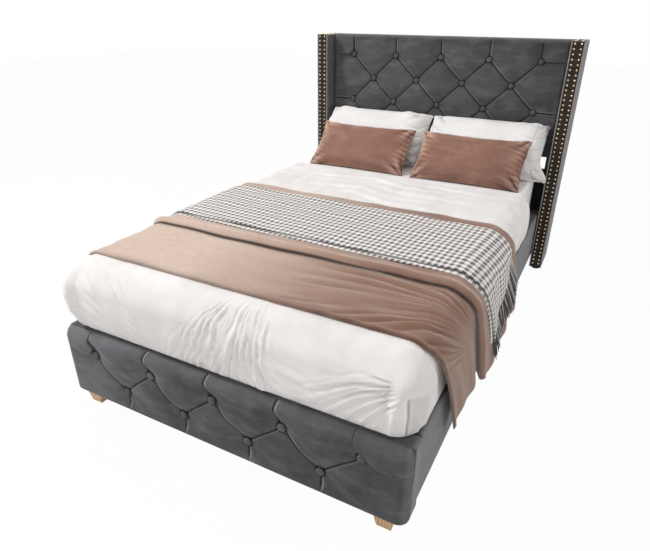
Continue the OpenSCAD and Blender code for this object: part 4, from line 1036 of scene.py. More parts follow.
class Duvet(bpy.types.Operator):
    """Builds the white duvet, which rolls over the foot and the sides of the bed"""

    bl_idname = "bed.duvet"
    bl_label = "Duvet"

    def execute(self, context):
        wrinkle = context.scene.bed.wrinkle
        skirt = hang(DUVET_LOW)
        s = np.linspace(-FLAT_X - skirt, FLAT_X + skirt, 391)
        t = np.concatenate([np.linspace(FLAT_Y - skirt, 150, 97), np.linspace(150, 1070, 31)[1:],
                            np.linspace(1070, DUVET_HEAD, 73)[1:]])
        ss, tt = np.meshgrid(s, t, indexing="ij")
        base = laid(ss, tt, -16.8 * (1 - smooth((DUVET_HEAD - tt) / 40)), 0.0)
        n = normals_of(base)
        dx, dy = np.maximum(0, np.abs(ss) - FLAT_X), np.maximum(0, FLAT_Y - tt)
        reach = np.maximum(dx, dy)
        lift, crease, rim = self.folds(ss, tt, dx, dy, reach - EDGE_ARC, base)
        hem = smooth((skirt - reach) / 22)
        head = smooth((DUVET_HEAD - tt) / 30)
        lift = lift * wrinkle * hem * (0.25 + 0.75 * head) - 9 * (1 - hem) ** 2
        # It lies still under the blanket
        under = smooth((tt - 132) / 18) * (1 - smooth((tt - 1064) / 22))
        lift = np.where(lift > 0, lift * (1 - under), lift * (1 - 0.6 * under))
        bulge = np.sin(math.pi * np.clip((base[..., 2] - DUVET_LOW) / (DUVET_Z - DUVET_LOW), 0, 1))
        wide = 18 + 14 * smooth(-ss / 100) * smooth((420 - tt) / 300)
        lift = lift + wide * bulge * smooth(dx / 60) * (1 - under)
        lift = lift + (7 + 11 * bulge) * smooth((dy - 60) / 70) * smooth((650 - np.abs(base[..., 0])) / 90)
        points, faces = shell(base + n * lift[..., None], lining(ss, tt), 3)
        blank = np.zeros(len(points) - ss.size)
        # Painted shade and painted highlight of the folds, left out under the blanket
        marks = {key: np.concatenate([(np.clip(value, 0, 1) * (1 - under)).ravel(), blank])
                 for key, value in (("crease", crease), ("rim", rim))}
        piece = dress(build("duvet_quilt", points, faces, "duvet", attributes=marks), "duvet")
        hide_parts("duvet")
        return {"FINISHED"}

    def folds(self, s, t, dx, dy, down, base):
        """Height of the folds, with painted shade in their valleys and a painted highlight and shadow at the tab. On
        the front the gathers hang down from the edge, on top they run in long soft waves towards the head."""
        x, z = base[..., 0], base[..., 2]
        front = smooth((dy - 30) / 60) * smooth((640 - np.abs(x)) / 50)
        top = smooth((60 - np.maximum(dx, dy)) / 60)
        side = smooth((dx - 20) / 80)
        lift = np.zeros_like(s)
        # Thin gathers in the middle that start under the blanket and spread as they fall
        w = BLANKET_Y - t
        theta = (s - 130) / (w + 135) + 0.02 * np.sin(w / 40 + s / 70) + 0.006 * np.sin(w / 15 - s / 31)
        band = smooth((theta + 0.95) / 0.5) * smooth((0.42 - theta) / 0.3) * smooth((w + 4) / 40)
        some = np.clip(0.58 + 0.7 * wobble(37, 8, 36, 130, s * 1.3, w * 0.7), 0.05, 1.2)
        stray = wobble(36, 7, 60, 210, s, w * 0.8)
        fine = np.clip(0.45 + 0.7 * wobble(38, 7, 40, 130, s * 1.3, w * 0.6), 0, 1)
        one = pucker(theta * 68 + 1.3 * np.sin(theta * 9) + 1.7 * stray)
        two = pucker(theta * 131 + 2.1 * np.sin(theta * 14) - 2.2 * stray)
        drop = smooth((dy - 5) / 70)
        lift += band * (0.35 + 0.65 * drop) * (some * 4.3 * one + fine * 2.9 * two)
        # Painted shade in the valleys of the gathers
        crease = band * drop * (0.24 * some * valley(one) + 0.2 * fine * valley(two))
        # Slanting creases at the left of the front
        left = smooth((-x - 260) / 120) * front
        slant = z + (x + 640) * 0.62 + 10 * np.sin(x / 65)
        some = np.clip(0.45 + 0.55 * wobble(39, 6, 80, 220, x, z), 0, 1)
        one, two = pucker(slant / 6.6 + 1.2 * np.sin(slant / 50)), pucker(slant / 3.4 + 0.8)
        lift += left * some * (2.9 * one + 0.9 * two)
        # Painted shade in the valleys of these creases
        crease += left * some * 0.2 * valley(one)
        # Folds at the right that fan out to the lower left from above the tab
        angle = np.arctan2(FAN_Z - z, np.maximum(FAN_X - x, 1)) + 0.12 * np.sin(x / 70)
        dist = np.hypot(FAN_X - x, FAN_Z - z)
        fan = smooth((angle - 0.02) / 0.2) * smooth((1.35 - angle) / 0.2) * smooth((dy - 30) / 60)
        fan = fan * smooth((612 - x) / 46) * smooth((dist - 12) / 60) * np.exp(-dist / 280)
        stray = wobble(35, 6, 70, 240, x, z)
        one, two = pucker(angle * 31 + dist / 55 + stray), pucker(angle * 57 + 2 - 2 * stray)
        lift += fan * (6.5 * one + 2.6 * two)
        # Painted shade in the valleys of these folds
        crease += fan * (0.35 * valley(one) + 0.15 * valley(two))
        # Faint long folds between the two, nearly level
        some = np.clip(wobble(40, 6, 150, 400, x, 3 * z), 0, 1) * front * smooth((x - 60) / 120)
        lift += some * 2.2 * pucker((z + 0.3 * x) / 9.5)
        # Long soft waves over the top, and drawn-out ridges near the head edge
        lift += top * 2.0 * wobble(41, 10, 90, 320, s * 1.6, t * 0.5)
        rear = top * smooth((t - 1060) / 40)
        bent = t + 34 * np.sin((s - 90) / 170) + 14 * np.sin(s / 61)
        for place, centre, width, high in ((1180, 60, 260, 7.0), (1262, -150, 230, 5.5), (1345, 210, 240, 7.5),
                                           (1430, -60, 300, 6.5), (1500, 330, 200, 6.0), (1120, 380, 190, 6.0)):
            near = ridge(s - centre, width)
            lift += rear * near * high * (ridge(bent - place, 17) - 0.6 * ridge(bent - place + 26, 13))
        lift += rear * 1.6 * wobble(43, 9, 50, 170, s * 0.8, t * 1.4)
        # Swags down the sides
        lift += side * 5.0 * wobble(47, 10, 60, 220, t * 1.2, z * 0.6)
        # The mitred tab at the front corners, with a painted shadow line just past its edge, painted shade further
        # towards the corner and a painted highlight on the edge
        rim = np.zeros_like(s)
        for sign in (-1, 1):
            edge = sign * x - (TAB_X - (z - 400) * 0.04)
            span = smooth((482 - z) / 14) * smooth((dy - 60) / 30)
            lift += span * 4.5 * smooth((edge + 42) / 40) * (1 - smooth((edge - 0.5) / 5))
            crease += 0.95 * span * ridge(edge - 4.5, 2.8) + 0.24 * span * smooth((edge - 6) / 8)
            rim += 0.5 * span * ridge(edge, 2.6)
        hem = down - (DUVET_Z - EDGE_R - DUVET_LOW - 22)
        lift -= 1.2 * ridge(hem, 3.5)
        lift += 0.9 * wobble(53, 8, 70, 200, s, t)
        return lift, crease, rim


class Blanket(bpy.types.Operator):
    """Builds the mocha blanket, folded back on itself under the throw"""

    bl_idname = "bed.blanket"
    bl_label = "Blanket"

    def execute(self, context):
        wrinkle = context.scene.bed.wrinkle
        t = np.concatenate([spaced(BLANKET_Y, 454, 6.5), spaced(457, 499, 2.2), spaced(504, BLANKET_END, 7.5)])
        folded = smooth((t - BLANKET_FOLD) / 24)
        # Height of the hem over the floor, which is lower at the front corners
        height = mix(BLANKET_HEM - BLANKET_DROP * smooth((270 - t) / 120), FOLDED_HEM, folded)
        ss, tt, far, side = over_bed(t, hang(height), 66, 150)
        fold = folded + 0 * far
        low = smooth((side - 60) / 200)
        over = 5.3 + 7 * fold
        # Wrinkles that draw together at the right side, and a few soft ones over the width
        phi = np.arctan2(tt - 372, np.maximum(790 - ss, 30)) + 0.02 * np.sin(ss / 90)
        right = smooth((ss + 60) / 460) * (1 - fold)
        part_a = np.clip(0.45 + 0.6 * wobble(65, 6, 200, 520, 0.6 * ss, 2.4 * tt), 0.05, 1.2)
        part_b = np.clip(0.45 + 0.6 * wobble(66, 6, 160, 420, 0.6 * ss, 2.2 * tt), 0, 1.2)
        drawn = tt + 22 * wobble(64, 5, 300, 800, ss, 0.4 * tt) - 0.1 * ss
        sharp, fine = pucker(phi * 46 + 1.5 * np.sin(phi * 13)), pucker(phi * 83 + 1.0)
        pleats = part_a * 6.0 * sharp + part_b * 2.4 * fine * (1 - 0.8 * smooth((side - 10) / 60))
        wave = right * pleats * (1 - 0.5 * smooth((side - 30) / 120))
        wave += (1 - fold) * (0.3 + 0.4 * part_b) * 2.6 * np.sin(drawn / 19)
        wave *= smooth((tt - 158) / 20)
        wave += fold * 1.2 * wobble(61, 8, 40, 150, ss * 0.4, tt)
        wave += 1.6 * wobble(63, 9, 60, 220, ss * 0.5, tt * 1.3)
        roll = 14.0 * ridge(tt - 494, 17) + 5.0 * ridge(tt - 161, 9)
        h = np.maximum(over + 2.2 + wave * (1 - 0.5 * low) * wrinkle + roll, over * 0.6 + 0.8)
        hemmed = smooth((far - side) / 18)
        swell = low * 3.0 * wobble(67, 7, 110, 300, tt * 1.2, side * 0.4) * wrinkle
        under = smooth((tt - 556) / 12) * smooth((1018 - tt) / 20)
        h = np.where(under > 0, mix(h, np.minimum(h, over), under), h)
        swell = swell * (1 - 0.8 * under)
        outer = cover_point(ss, tt, h * (0.55 + 0.45 * hemmed), swell)
        inner = cover_point(ss, tt, 0.3 + np.maximum(h - over, 0) * 0.35, swell)
        points, faces = shell(outer, inner)
        # Painted shadow lines under the fold, in front of it and along the front hem, and painted shade in the pleat
        # valleys
        dark = 1.5 * ridge(tt - BLANKET_FOLD, 6.0) + 0.3 * ridge(tt - 463, 10) + 0.4 * ridge(tt - 151, 5)
        dark = np.clip(dark + 0.2 * right * part_a * valley(sharp) + 0.15 * ridge(tt - 168, 12), 0, 1)
        # Painted sheen: lighter towards the left and less on the hanging sides and the folded layer, with painted
        # highlights behind the fold's roll and on the pleat crests
        light = (1 - smooth((ss + 370) / 820)) * (1 - 0.75 * smooth((side - 30) / 90)) * (1 - 0.35 * fold)
        light = light + 0.4 * ridge(tt - 514, 28) + 0.12 * right * np.maximum(sharp, 0)
        marks = {"crease": np.tile(dark.ravel(), 2), "fade": np.tile(light.ravel(), 2)}
        piece = dress(build("bed_blanket", points, faces, "blanket", attributes=marks), "mocha")
        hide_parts("blanket")
        return {"FINISHED"}


def throw_low(t):
    """Height of the throw's hem over the floor."""
    return mix(*THROW_HEM, np.clip((t - THROW_Y) / (THROW_END - THROW_Y), 0, 1))


class Throw(bpy.types.Operator):
    """Builds the gingham throw with its lower layer and its fringe"""

    bl_idname = "bed.throw"
    bl_label = "Gingham Throw"

    def execute(self, context):
        t = np.concatenate([spaced(THROW_LOW_Y, 586, 4.0), spaced(588, 594, 1.5), spaced(598, THROW_END, 6.0)])
        hem = hang(throw_low(t))
        ss, tt = over_bed(t, hem, 56, 170)[:2]
        wave = 1.5 * wobble(71, 9, 50, 190, ss * 0.6, tt * 1.2) + 0.8 * np.sin((tt + 20 * np.sin(ss / 190)) / 17)
        upper = smooth((tt - 587) / 5)
        h = THROW_OVER + 2.6 + upper * (5.2 + np.maximum(wave, -2.0))
        rest = 1 - np.clip(np.minimum(tt - THROW_LOW_Y, THROW_END - tt) / 5.0, 0, 1)
        round_edge = 1 - np.sqrt(np.clip(1 - rest ** 2, 0, 1))
        outer = cover_point(ss, tt, h - 1.2 * round_edge)
        inner = cover_point(ss, tt, THROW_OVER + 0.2 + 1.0 * round_edge)
        points, faces = shell(outer, inner)
        # Painted shadow lines at the front edge of the upper layer and of the lower layer
        edge = 0.95 * ridge(tt - 587, 3.0) + 0.5 * ridge(tt - THROW_LOW_Y, 2.5)
        # Coordinates on the cloth in metres, a little askew, which jump at the lower layer
        jump = np.where(tt < 588, 0.007, 0.0)
        uv = np.stack([ss / 1000 + 2 - 0.07 * tt / 1000 + jump, tt / 1000 + 0.07 * ss / 1000 + jump], axis=-1)
        piece = build("gingham_throw", points, faces, "throw", uv=np.concatenate([uv, uv]),
                      attributes={"crease": np.tile(edge.ravel(), 2)})
        dress(piece, "gingham")
        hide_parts("throw")
        fringe = self.fringe(context.scene.bed.strands)
        return {"FINISHED"}

    def fringe(self, count):
        """Twisted strands from the hem down, a little fuller towards the head."""
        rng = np.random.default_rng(5)
        strands, tones = [], []
        ring = np.radians(np.arange(5) * 72)
        k = np.linspace(0, 1, 5)
        for side in (-1, 1):
            for i in range(count):
                f = (i + 0.5) / count
                t = mix(THROW_Y, THROW_END, f) + rng.uniform(-1.5, 1.5)
                length = FRINGE * rng.uniform(0.86, 1.0)
                s = side * (FLAT_X + hang(throw_low(t)) + k * length)
                flare = k * (1 + f * 8) * 3 + rng.uniform(-0.5, 1.4) * k * 7
                line = cover_point(s, np.full(5, t), THROW_OVER + 3.0 + flare)
                line[:, 1] += rng.uniform(-6, 6) * k ** 1.5
                line[0, 2] += 2.0
                radius = np.array([1.6, 2.3, 2.6, 2.4, 0.9]) * rng.uniform(0.85, 1.15)
                body = line[:, None] + radius[:, None, None] * np.stack(
                    [np.cos(ring), np.sin(ring), 0 * ring], axis=-1)
                strands.append(loft(body[::-1]))
                tone = rng.choice([0.0, 0.15, 0.95, 1.0])
                tones.append(np.repeat(tone * (1 - 0.25 * k[::-1]), 5))
        points, faces = joined(strands)
        piece = build("throw_fringe_yarn", points, faces, "throw",
                      attributes={"tone": np.concatenate(tones)})
        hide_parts("throw_fringe")
        return dress(piece, "fringe")


def bezier(a, b, c, d, t):
    """a(1−t)³ + 3b t(1−t)² + 3c t²(1−t) + d t³ for points a to d."""
    t = np.asarray(t)[..., None]
    return (np.array(a) * (1 - t) ** 3 + 3 * np.array(b) * t * (1 - t) ** 2
            + 3 * np.array(c) * t * t * (1 - t) + np.array(d) * t ** 3)


def swell(piece, pressure, cap, voxel, frames=20, limit=None):
    """Cloth simulation of a closed skin under pressure, with no gravity. The mesh is remeshed,
    swells for some frames, no point moves further than cap metres, and the limit function
    then holds the points in their room. The result is applied and smoothed."""
    scene = bpy.context.scene
    mod = piece.modifiers.new("Remesh", "REMESH")
    mod.mode = "VOXEL"
    mod.voxel_size = voxel
    mod.use_smooth_shade = True
    bake(piece)
    start = numbers(piece.data)
    mod = piece.modifiers.new("Cloth", "CLOTH")
    for key, value in (("quality", 5), ("mass", 0.25), ("tension_stiffness", 14), ("compression_stiffness", 6),
                       ("shear_stiffness", 4), ("bending_stiffness", 0.25), ("use_pressure", True),
                       ("uniform_pressure_force", pressure)):
        setattr(mod.settings, key, value)
    mod.settings.effector_weights.gravity = 0.0
    mod.collision_settings.use_collision = False
    mod.collision_settings.use_self_collision = False
    mod.point_cache.frame_start = 1
    mod.point_cache.frame_end = frames
    for k in range(1, frames + 1):
        scene.frame_set(k)
    moved = numbers(piece.evaluated_get(bpy.context.evaluated_depsgraph_get()).data)
    piece.modifiers.remove(mod)
    scene.frame_set(1)
    if not np.isfinite(moved).all():
        raise RuntimeError(f"the simulation of {piece.name} failed")
    step = moved - start
    size = np.linalg.norm(step, axis=1, keepdims=True)
    step *= np.minimum(1.0, cap / np.maximum(size, 1e-9))
    result = start + step
    if limit is not None:
        result = limit(result)
    piece.data.vertices.foreach_set("co", result.ravel())
    piece.data.update()
    mod = piece.modifiers.new("Smooth", "SMOOTH")
    mod.factor = 0.5
    mod.iterations = 2
    bake(piece)


def bake(piece):
    """Replaces the mesh by the result of its modifiers."""
    graph = bpy.context.evaluated_depsgraph_get()
    mesh = bpy.data.meshes.new_from_object(piece.evaluated_get(graph))
    old = piece.data
    piece.modifiers.clear()
    piece.data = mesh
    bpy.data.meshes.remove(old)


def numbers(mesh):
    """Places of the points of a mesh, in metres, as an array (n, 3)."""
    co = np.empty(len(mesh.vertices) * 3)
    mesh.vertices.foreach_get("co", co)
    return co.reshape(-1, 3)


def read_points(piece):
    """Points of a piece in millimetres of the bed."""
    return numbers(piece.data) * 1000 + [0, HALF_LENGTH, 0]


def write_points(piece, points, marks):
    """Moves the points of a piece to places in millimetres and gives them attributes."""
    piece.data.vertices.foreach_set("co", to_row(points).ravel())
    for key, values in marks.items():
        layer = piece.data.attributes.new(key, "FLOAT", "POINT")
        layer.data.foreach_set("value", np.asarray(values, dtype=np.float32))
    piece.data.polygons.foreach_set("use_smooth", np.ones(len(piece.data.polygons), dtype=bool))
    piece.data.update()


def corner_folds(a, b, half_a, half_b, count, reach, seed):
    """Folds pucker(count·angle) that spread from the four corners of a cushion and weaken
    as exp(−distance / reach)."""
    total = 0.0
    for k, (sa, sb) in enumerate(((-1, -1), (-1, 1), (1, -1), (1, 1))):
        da, db = half_a - sa * a, half_b - sb * b
        dist, angle = np.hypot(da, db), np.arctan2(db, np.maximum(da, 1))
        total = total + pucker(count * angle + seed + k) * np.exp(-dist / reach) * smooth((dist - 6) / 22)
    return total


def lens(front, back):
    """Points and faces of two grids that share their rim."""
    nu, nv = front.shape[:2]
    number = np.arange(nu * nv).reshape(nu, nv)
    other = number + nu * nv
    other[0], other[-1], other[:, 0], other[:, -1] = number[0], number[-1], number[:, 0], number[:, -1]
    top = grid_quads(nu, nv)
    faces = [top, other.ravel()[top][:, ::-1]]
    keep = np.ones(2 * nu * nv, bool)
    keep[nu * nv:] = False
    keep[other[1:-1, 1:-1].ravel()] = True
    index = np.cumsum(keep) - 1
    points = np.concatenate([front.reshape(-1, 3), back.reshape(-1, 3)])[keep]
    return points, [index[f] for f in faces]


PILLOW_X, PILLOW_W = 318.0, 628.0
PILLOW_BACK = CROWN_Y - 0.6
CUSHION_X, CUSHION_W, CUSHION_H, CUSHION_T = 302.0, 556.0, 285.0, 92.0
CUSHION_Y = CROWN_Y - 430.0
LEAN = math.radians(44)
CUSHION_AXES = np.array([[1.0, 0.0, 0.0], [0.0, math.sin(LEAN), math.cos(LEAN)],
                         [0.0, -math.cos(LEAN), math.sin(LEAN)]])


def eased(count):
    """Numbers from −1 to 1 that lie closer together towards both ends: sin(πt/2)."""
    return np.sin(np.linspace(-1, 1, count) * math.pi / 2)


def subdivide(piece):
    """One level of subdivision, in the view and in the render."""
    sub = piece.modifiers.new("Subdivision", "SUBSURF")
    sub.levels = sub.render_levels = 1


class Pillows(bpy.types.Operator):
    """Builds the two white pillows that lean on the headboard"""

    bl_idname = "bed.pillows"
    bl_label = "Pillows"

    def execute(self, context):
        for sign, word in ((-1, "left"), (1, "right")):
            self.pillow(sign, word, context.scene.bed)
        return {"FINISHED"}

    @staticmethod
    def surfaces(u, v, thin):
        """Front and back of a pillow at u from −1 to 1 across and v from 0 to 1 up."""
        low = DUVET_IN_Z
        by = PILLOW_BACK
        f = bezier((by - 240, low + 6), (by - 300, low + 150), (by - 150, low + 305), (by - 8, low + 268), v)
        b = bezier((by - 240, low + 3), (by - 120, low - 30), (by + 60, low + 60), (by - 8, low + 264), v)
        b[..., 0] = np.minimum(b[..., 0], by)
        b[..., 1] = np.maximum(b[..., 1], low)
        m = (f + b) / 2
        full = np.clip(1 - np.abs(u) ** 5, 0, 1) ** 0.5
        draw = 1 - 0.02 * u ** 4 * np.sin(math.pi * v)
        fall = 8 * np.abs(u) ** 6 * smooth(v * 2)
        out = []
        for part in (f, b):
            q = m + (part - m) * (full * thin)[..., None]
            corner = 10 * np.abs(u) ** 8 * (np.abs(2 * v - 1) ** 6)
            out.append(np.stack([(PILLOW_W / 2 + corner * thin - 4) * u * draw, np.minimum(q[..., 0], by),
                                 np.maximum(q[..., 1] - fall, low)], axis=-1))
        return out

    def pillow(self, sign, word, s):
        """Two surfaces sewn together, swollen by the simulation, then folded and creased."""
        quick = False
        uu, vv = np.meshgrid(eased(90), 0.5 + 0.5 * eased(48), indexing="ij")
        front, back = self.surfaces(uu, vv, 1.0 if quick else 0.93)
        centre = sign * PILLOW_X
        for part in (front, back):
            part[..., 0] += centre
        points, faces = lens(front, back)
        piece = build(f"pillow_white_{word}", points, faces, f"pillow_{word}")
        if not quick:
            swell(piece, s.fill, 0.012, 0.006, limit=self.room)
        co = read_points(piece)
        wide = np.abs(co[:, 0] - centre).max()
        co[:, 0] = centre + (co[:, 0] - centre) * (PILLOW_W / 2 + 2.5) / wide
        co, crease = self.finish_folds(co, sign, centre)
        write_points(piece, co, {"crease": crease})
        subdivide(piece)
        dress(piece, "pillow")
        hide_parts(f"pillow_{word}")

    @staticmethod
    def room(points):
        """Holds the points above the sheet and before the headboard."""
        points[:, 1] = np.minimum(points[:, 1], (PILLOW_BACK - HALF_LENGTH) / 1000)
        points[:, 2] = np.maximum(points[:, 2], DUVET_IN_Z / 1000)
        return points

    def finish_folds(self, co, sign, centre):
        """Soft dents and creases, gathered towards the ends, and the case's hem line, with painted shade in the valleys
        of the folds, over the front and at the right pillow's open end.
        """
        x = co[:, 0] - centre
        u = x / (PILLOW_W / 2)
        crease = np.zeros(len(co))
        front = smooth((PILLOW_BACK - 20 - co[:, 1]) / 60)
        end = smooth((np.abs(u) - 0.55) / 0.4)
        wave = 2.6 * wobble(81 + sign, 10, 70, 220, co[:, 0], co[:, 1], co[:, 2])
        pull = pucker((co[:, 2] + 14 * np.sin(x / 34)) / 7.5 + 1.4 * np.sin(x / 50))
        inner = smooth((-sign * u - 0.5) / 0.4)
        wave += (end * 4.4 + inner * 4.0) * pull
        up = np.where(co[:, 2] < 830, co[:, 2] - 690, 140)
        folds = corner_folds(x, up, PILLOW_W / 2 + 4, 150, 9, 95, sign)
        wave += 8.0 * folds
        # Painted shade in the valleys of the folds, and a little over the whole front, more on the left pillow
        crease += front * (0.25 * smooth((-folds - 0.1) / 0.3) + 0.2 * inner * valley(pull))
        crease += end * front * 0.3 * valley(pull) + front * (0.045 - 0.02 * sign)
        # Slack cloth that hangs in slanting folds from the upper corners
        sag = pucker((co[:, 2] - 0.45 * np.abs(x) + 10 * np.sin(x / 60)) / 13 + sign)
        some = np.clip(0.4 + 0.6 * wobble(85 + sign, 5, 120, 300, co[:, 0], co[:, 2]), 0, 1)
        wave += some * 2.4 * sag * smooth((np.abs(u) - 0.25) / 0.4)
        if sign > 0:
            seam = ridge(x - (PILLOW_W / 2 - 52), 2.4)
            wave = wave - 2.4 * seam
            # Painted shade along the hem seam and over the end of the case past it
            crease += 0.55 * seam + 0.17 * smooth((x - PILLOW_W / 2 + 50) / 12)
        centre_line = np.array([0, PILLOW_BACK - 130, SHEET_TOP + 120])
        away = co - centre_line
        away[:, 0] = 0
        away /= np.maximum(np.linalg.norm(away, axis=1, keepdims=True), 1)
        co = co + away * (wave * front)[:, None]
        if sign > 0:
            # The open end of the case stands out past the filling, with a loose lower corner
            tip = np.exp(-(np.linalg.norm(co - [PILLOW_X + 300, PILLOW_BACK - 225, 560], axis=1) / 62) ** 2)
            co = co + tip[:, None] * np.array([46.0, 34.0, -8.0])
        co[:, 1] = np.minimum(co[:, 1], PILLOW_BACK)
        co[:, 2] = np.maximum(co[:, 2], DUVET_IN_Z)
        return co, np.clip(crease, 0, 1)


class Cushions(bpy.types.Operator):
    """Builds the two velvet cushions in front of the pillows"""

    bl_idname = "bed.cushions"
    bl_label = "Velvet Cushions"

    def execute(self, context):
        for sign, word in ((-1, "left"), (1, "right")):
            self.cushion(sign, word, context.scene.bed)
        return {"FINISHED"}

    def cushion(self, sign, word, s):
        """A lens that leans back, swollen by the simulation, then gathered and creased."""
        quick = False
        uu, vv = np.meshgrid(eased(84), eased(46), indexing="ij")
        full = np.clip((1 - np.abs(uu) ** 2.4) * (1 - np.abs(vv) ** 2.2), 0, 1)
        thick = (CUSHION_T / 2 + 2) * full ** 0.72 * (1.0 if quick else 0.86)
        x = CUSHION_W / 2 * uu * (1 - 0.05 * (1 - vv * vv) * uu * uu)
        y = CUSHION_H / 2 * vv * (1 - 0.08 * (1 - uu * uu) * vv * vv)
        flat = np.stack([x, y, thick], axis=-1)
        centre = np.array([sign * CUSHION_X, CUSHION_Y, SHEET_TOP + 1.8]) + CUSHION_AXES[1] * CUSHION_H / 2
        points, faces = lens(centre + flat @ CUSHION_AXES, centre + flat * [1, 1, -1] @ CUSHION_AXES)
        piece = build(f"cushion_velvet_{word}", points, faces, f"cushion_{word}")
        if not quick:
            swell(piece, s.fill, 0.010, 0.0045)
        a, b, c = ((read_points(piece) - centre) @ CUSHION_AXES.T).T
        a = a * (CUSHION_W / 2 + 4) / np.abs(a).max()
        b = b * (CUSHION_H / 2 + 4) / np.abs(b).max()
        un, vn = a / (CUSHION_W / 2), b / (CUSHION_H / 2)
        end = smooth((np.abs(un) - 0.62) / 0.36)
        edge = smooth((np.abs(vn) - 0.7) / 0.28)
        skin = np.sign(c) * smooth(np.abs(c) / 5)
        wave = 3.2 * wobble(91 + sign, 7, 90, 240, a, b, c)
        gathers = pucker(b / 4.4 + 2.2 * np.sin(a / 34) + sign)
        some = 0.35 + 0.65 * smooth(0.5 + 0.9 * wobble(97 + sign, 4, 90, 200, a, b))
        wave += end * (1 - smooth((np.abs(un) - 0.985) / 0.02)) * 4.6 * some * gathers
        wave += edge * 1.2 * np.sin(a / 9.0 + np.sin(b / 12))
        corner = smooth((np.abs(un) - 0.7) / 0.3) * smooth((np.abs(vn) - 0.6) / 0.4)
        folds = corner_folds(a, b, CUSHION_W / 2 + 8, CUSHION_H / 2 + 8, 10, 78, 2 * sign)
        wave += 9.0 * folds
        dents = pucker((b + 0.55 * a + 16 * np.sin(a / 60)) / 13 + sign)
        wave += 3.0 * np.clip(wobble(95 + sign, 5, 120, 300, a, b), 0, 1) * dents
        co = centre + np.stack([a, b, c + skin * wave], axis=-1) @ CUSHION_AXES
        # Painted highlights at the left end, towards the top, at the corners, along the seam and on fold crests;
        # painted shade on the seam line, in the valleys and towards the right and the bottom, a little less on the left
        # cushion
        patch = 0.6 + 0.5 * wobble(93 + sign, 5, 80, 240, a, b)
        light = 0.75 * smooth((-un - 0.72) / 0.26) + 0.5 * smooth((vn - 0.5) / 0.5) * smooth((0.6 - un) / 0.8)
        shade = 0.16 * smooth((un - 0.1) / 0.7) + 0.16 * smooth((-vn - 0.2) / 0.7)
        rim = (0.25 * corner + 0.3 * ridge(c, 4) + light * patch
               + 0.5 * end * some * smooth((gathers - 0.1) / 0.6) + 0.6 * smooth((folds - 0.12) / 0.35))
        crease = (0.5 * ridge(c, 1.6) - 0.05 * (1 - sign) + 0.5 * end * some * valley(gathers)
                  + 0.55 * smooth((-folds - 0.08) / 0.25) + shade * (1.2 - 0.5 * patch))
        co[:, 2] = np.maximum(co[:, 2], DUVET_IN_Z)
        write_points(piece, co, {"crease": np.clip(crease, 0, 1), "rim": np.clip(rim, 0, 1)})
        subdivide(piece)
        dress(piece, "rose")
        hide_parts(f"cushion_{word}")


# ---------------------------------------------------------------- stage

# Camera's yaw, pitch and roll in degrees and place in metres, the photo's focal length and
# width in pixels, and the floor's half side in metres
CAMERA_TURN, CAMERA_PLACE = (28.073, 26.588, 0.160), (0.9352, -2.1077, 1.3456)
PHOTO_FOCAL, PHOTO_WIDTH, SENSOR = 535.56, 650, 36.0
FLOOR_SIZE = 14.0
# Name, place, target and size in metres of each lamp, and its share of the key light's power
LAMPS = (("key", (-3.2, -1.6, 3.9), (0.0, 0.0, 0.4), 1.0, 1.0), ("fill", (0.2, -3.6, 2.4), (0.0, -0.2, 0.4), 2.6, 0.15),
         ("side", (3.4, 0.0, 1.5), (0.5, 0.0, 0.4), 1.6, 0.13), ("top", (0.2, 0.4, 3.6), (0.0, 0.0, 0.3), 3.0, 0.12))


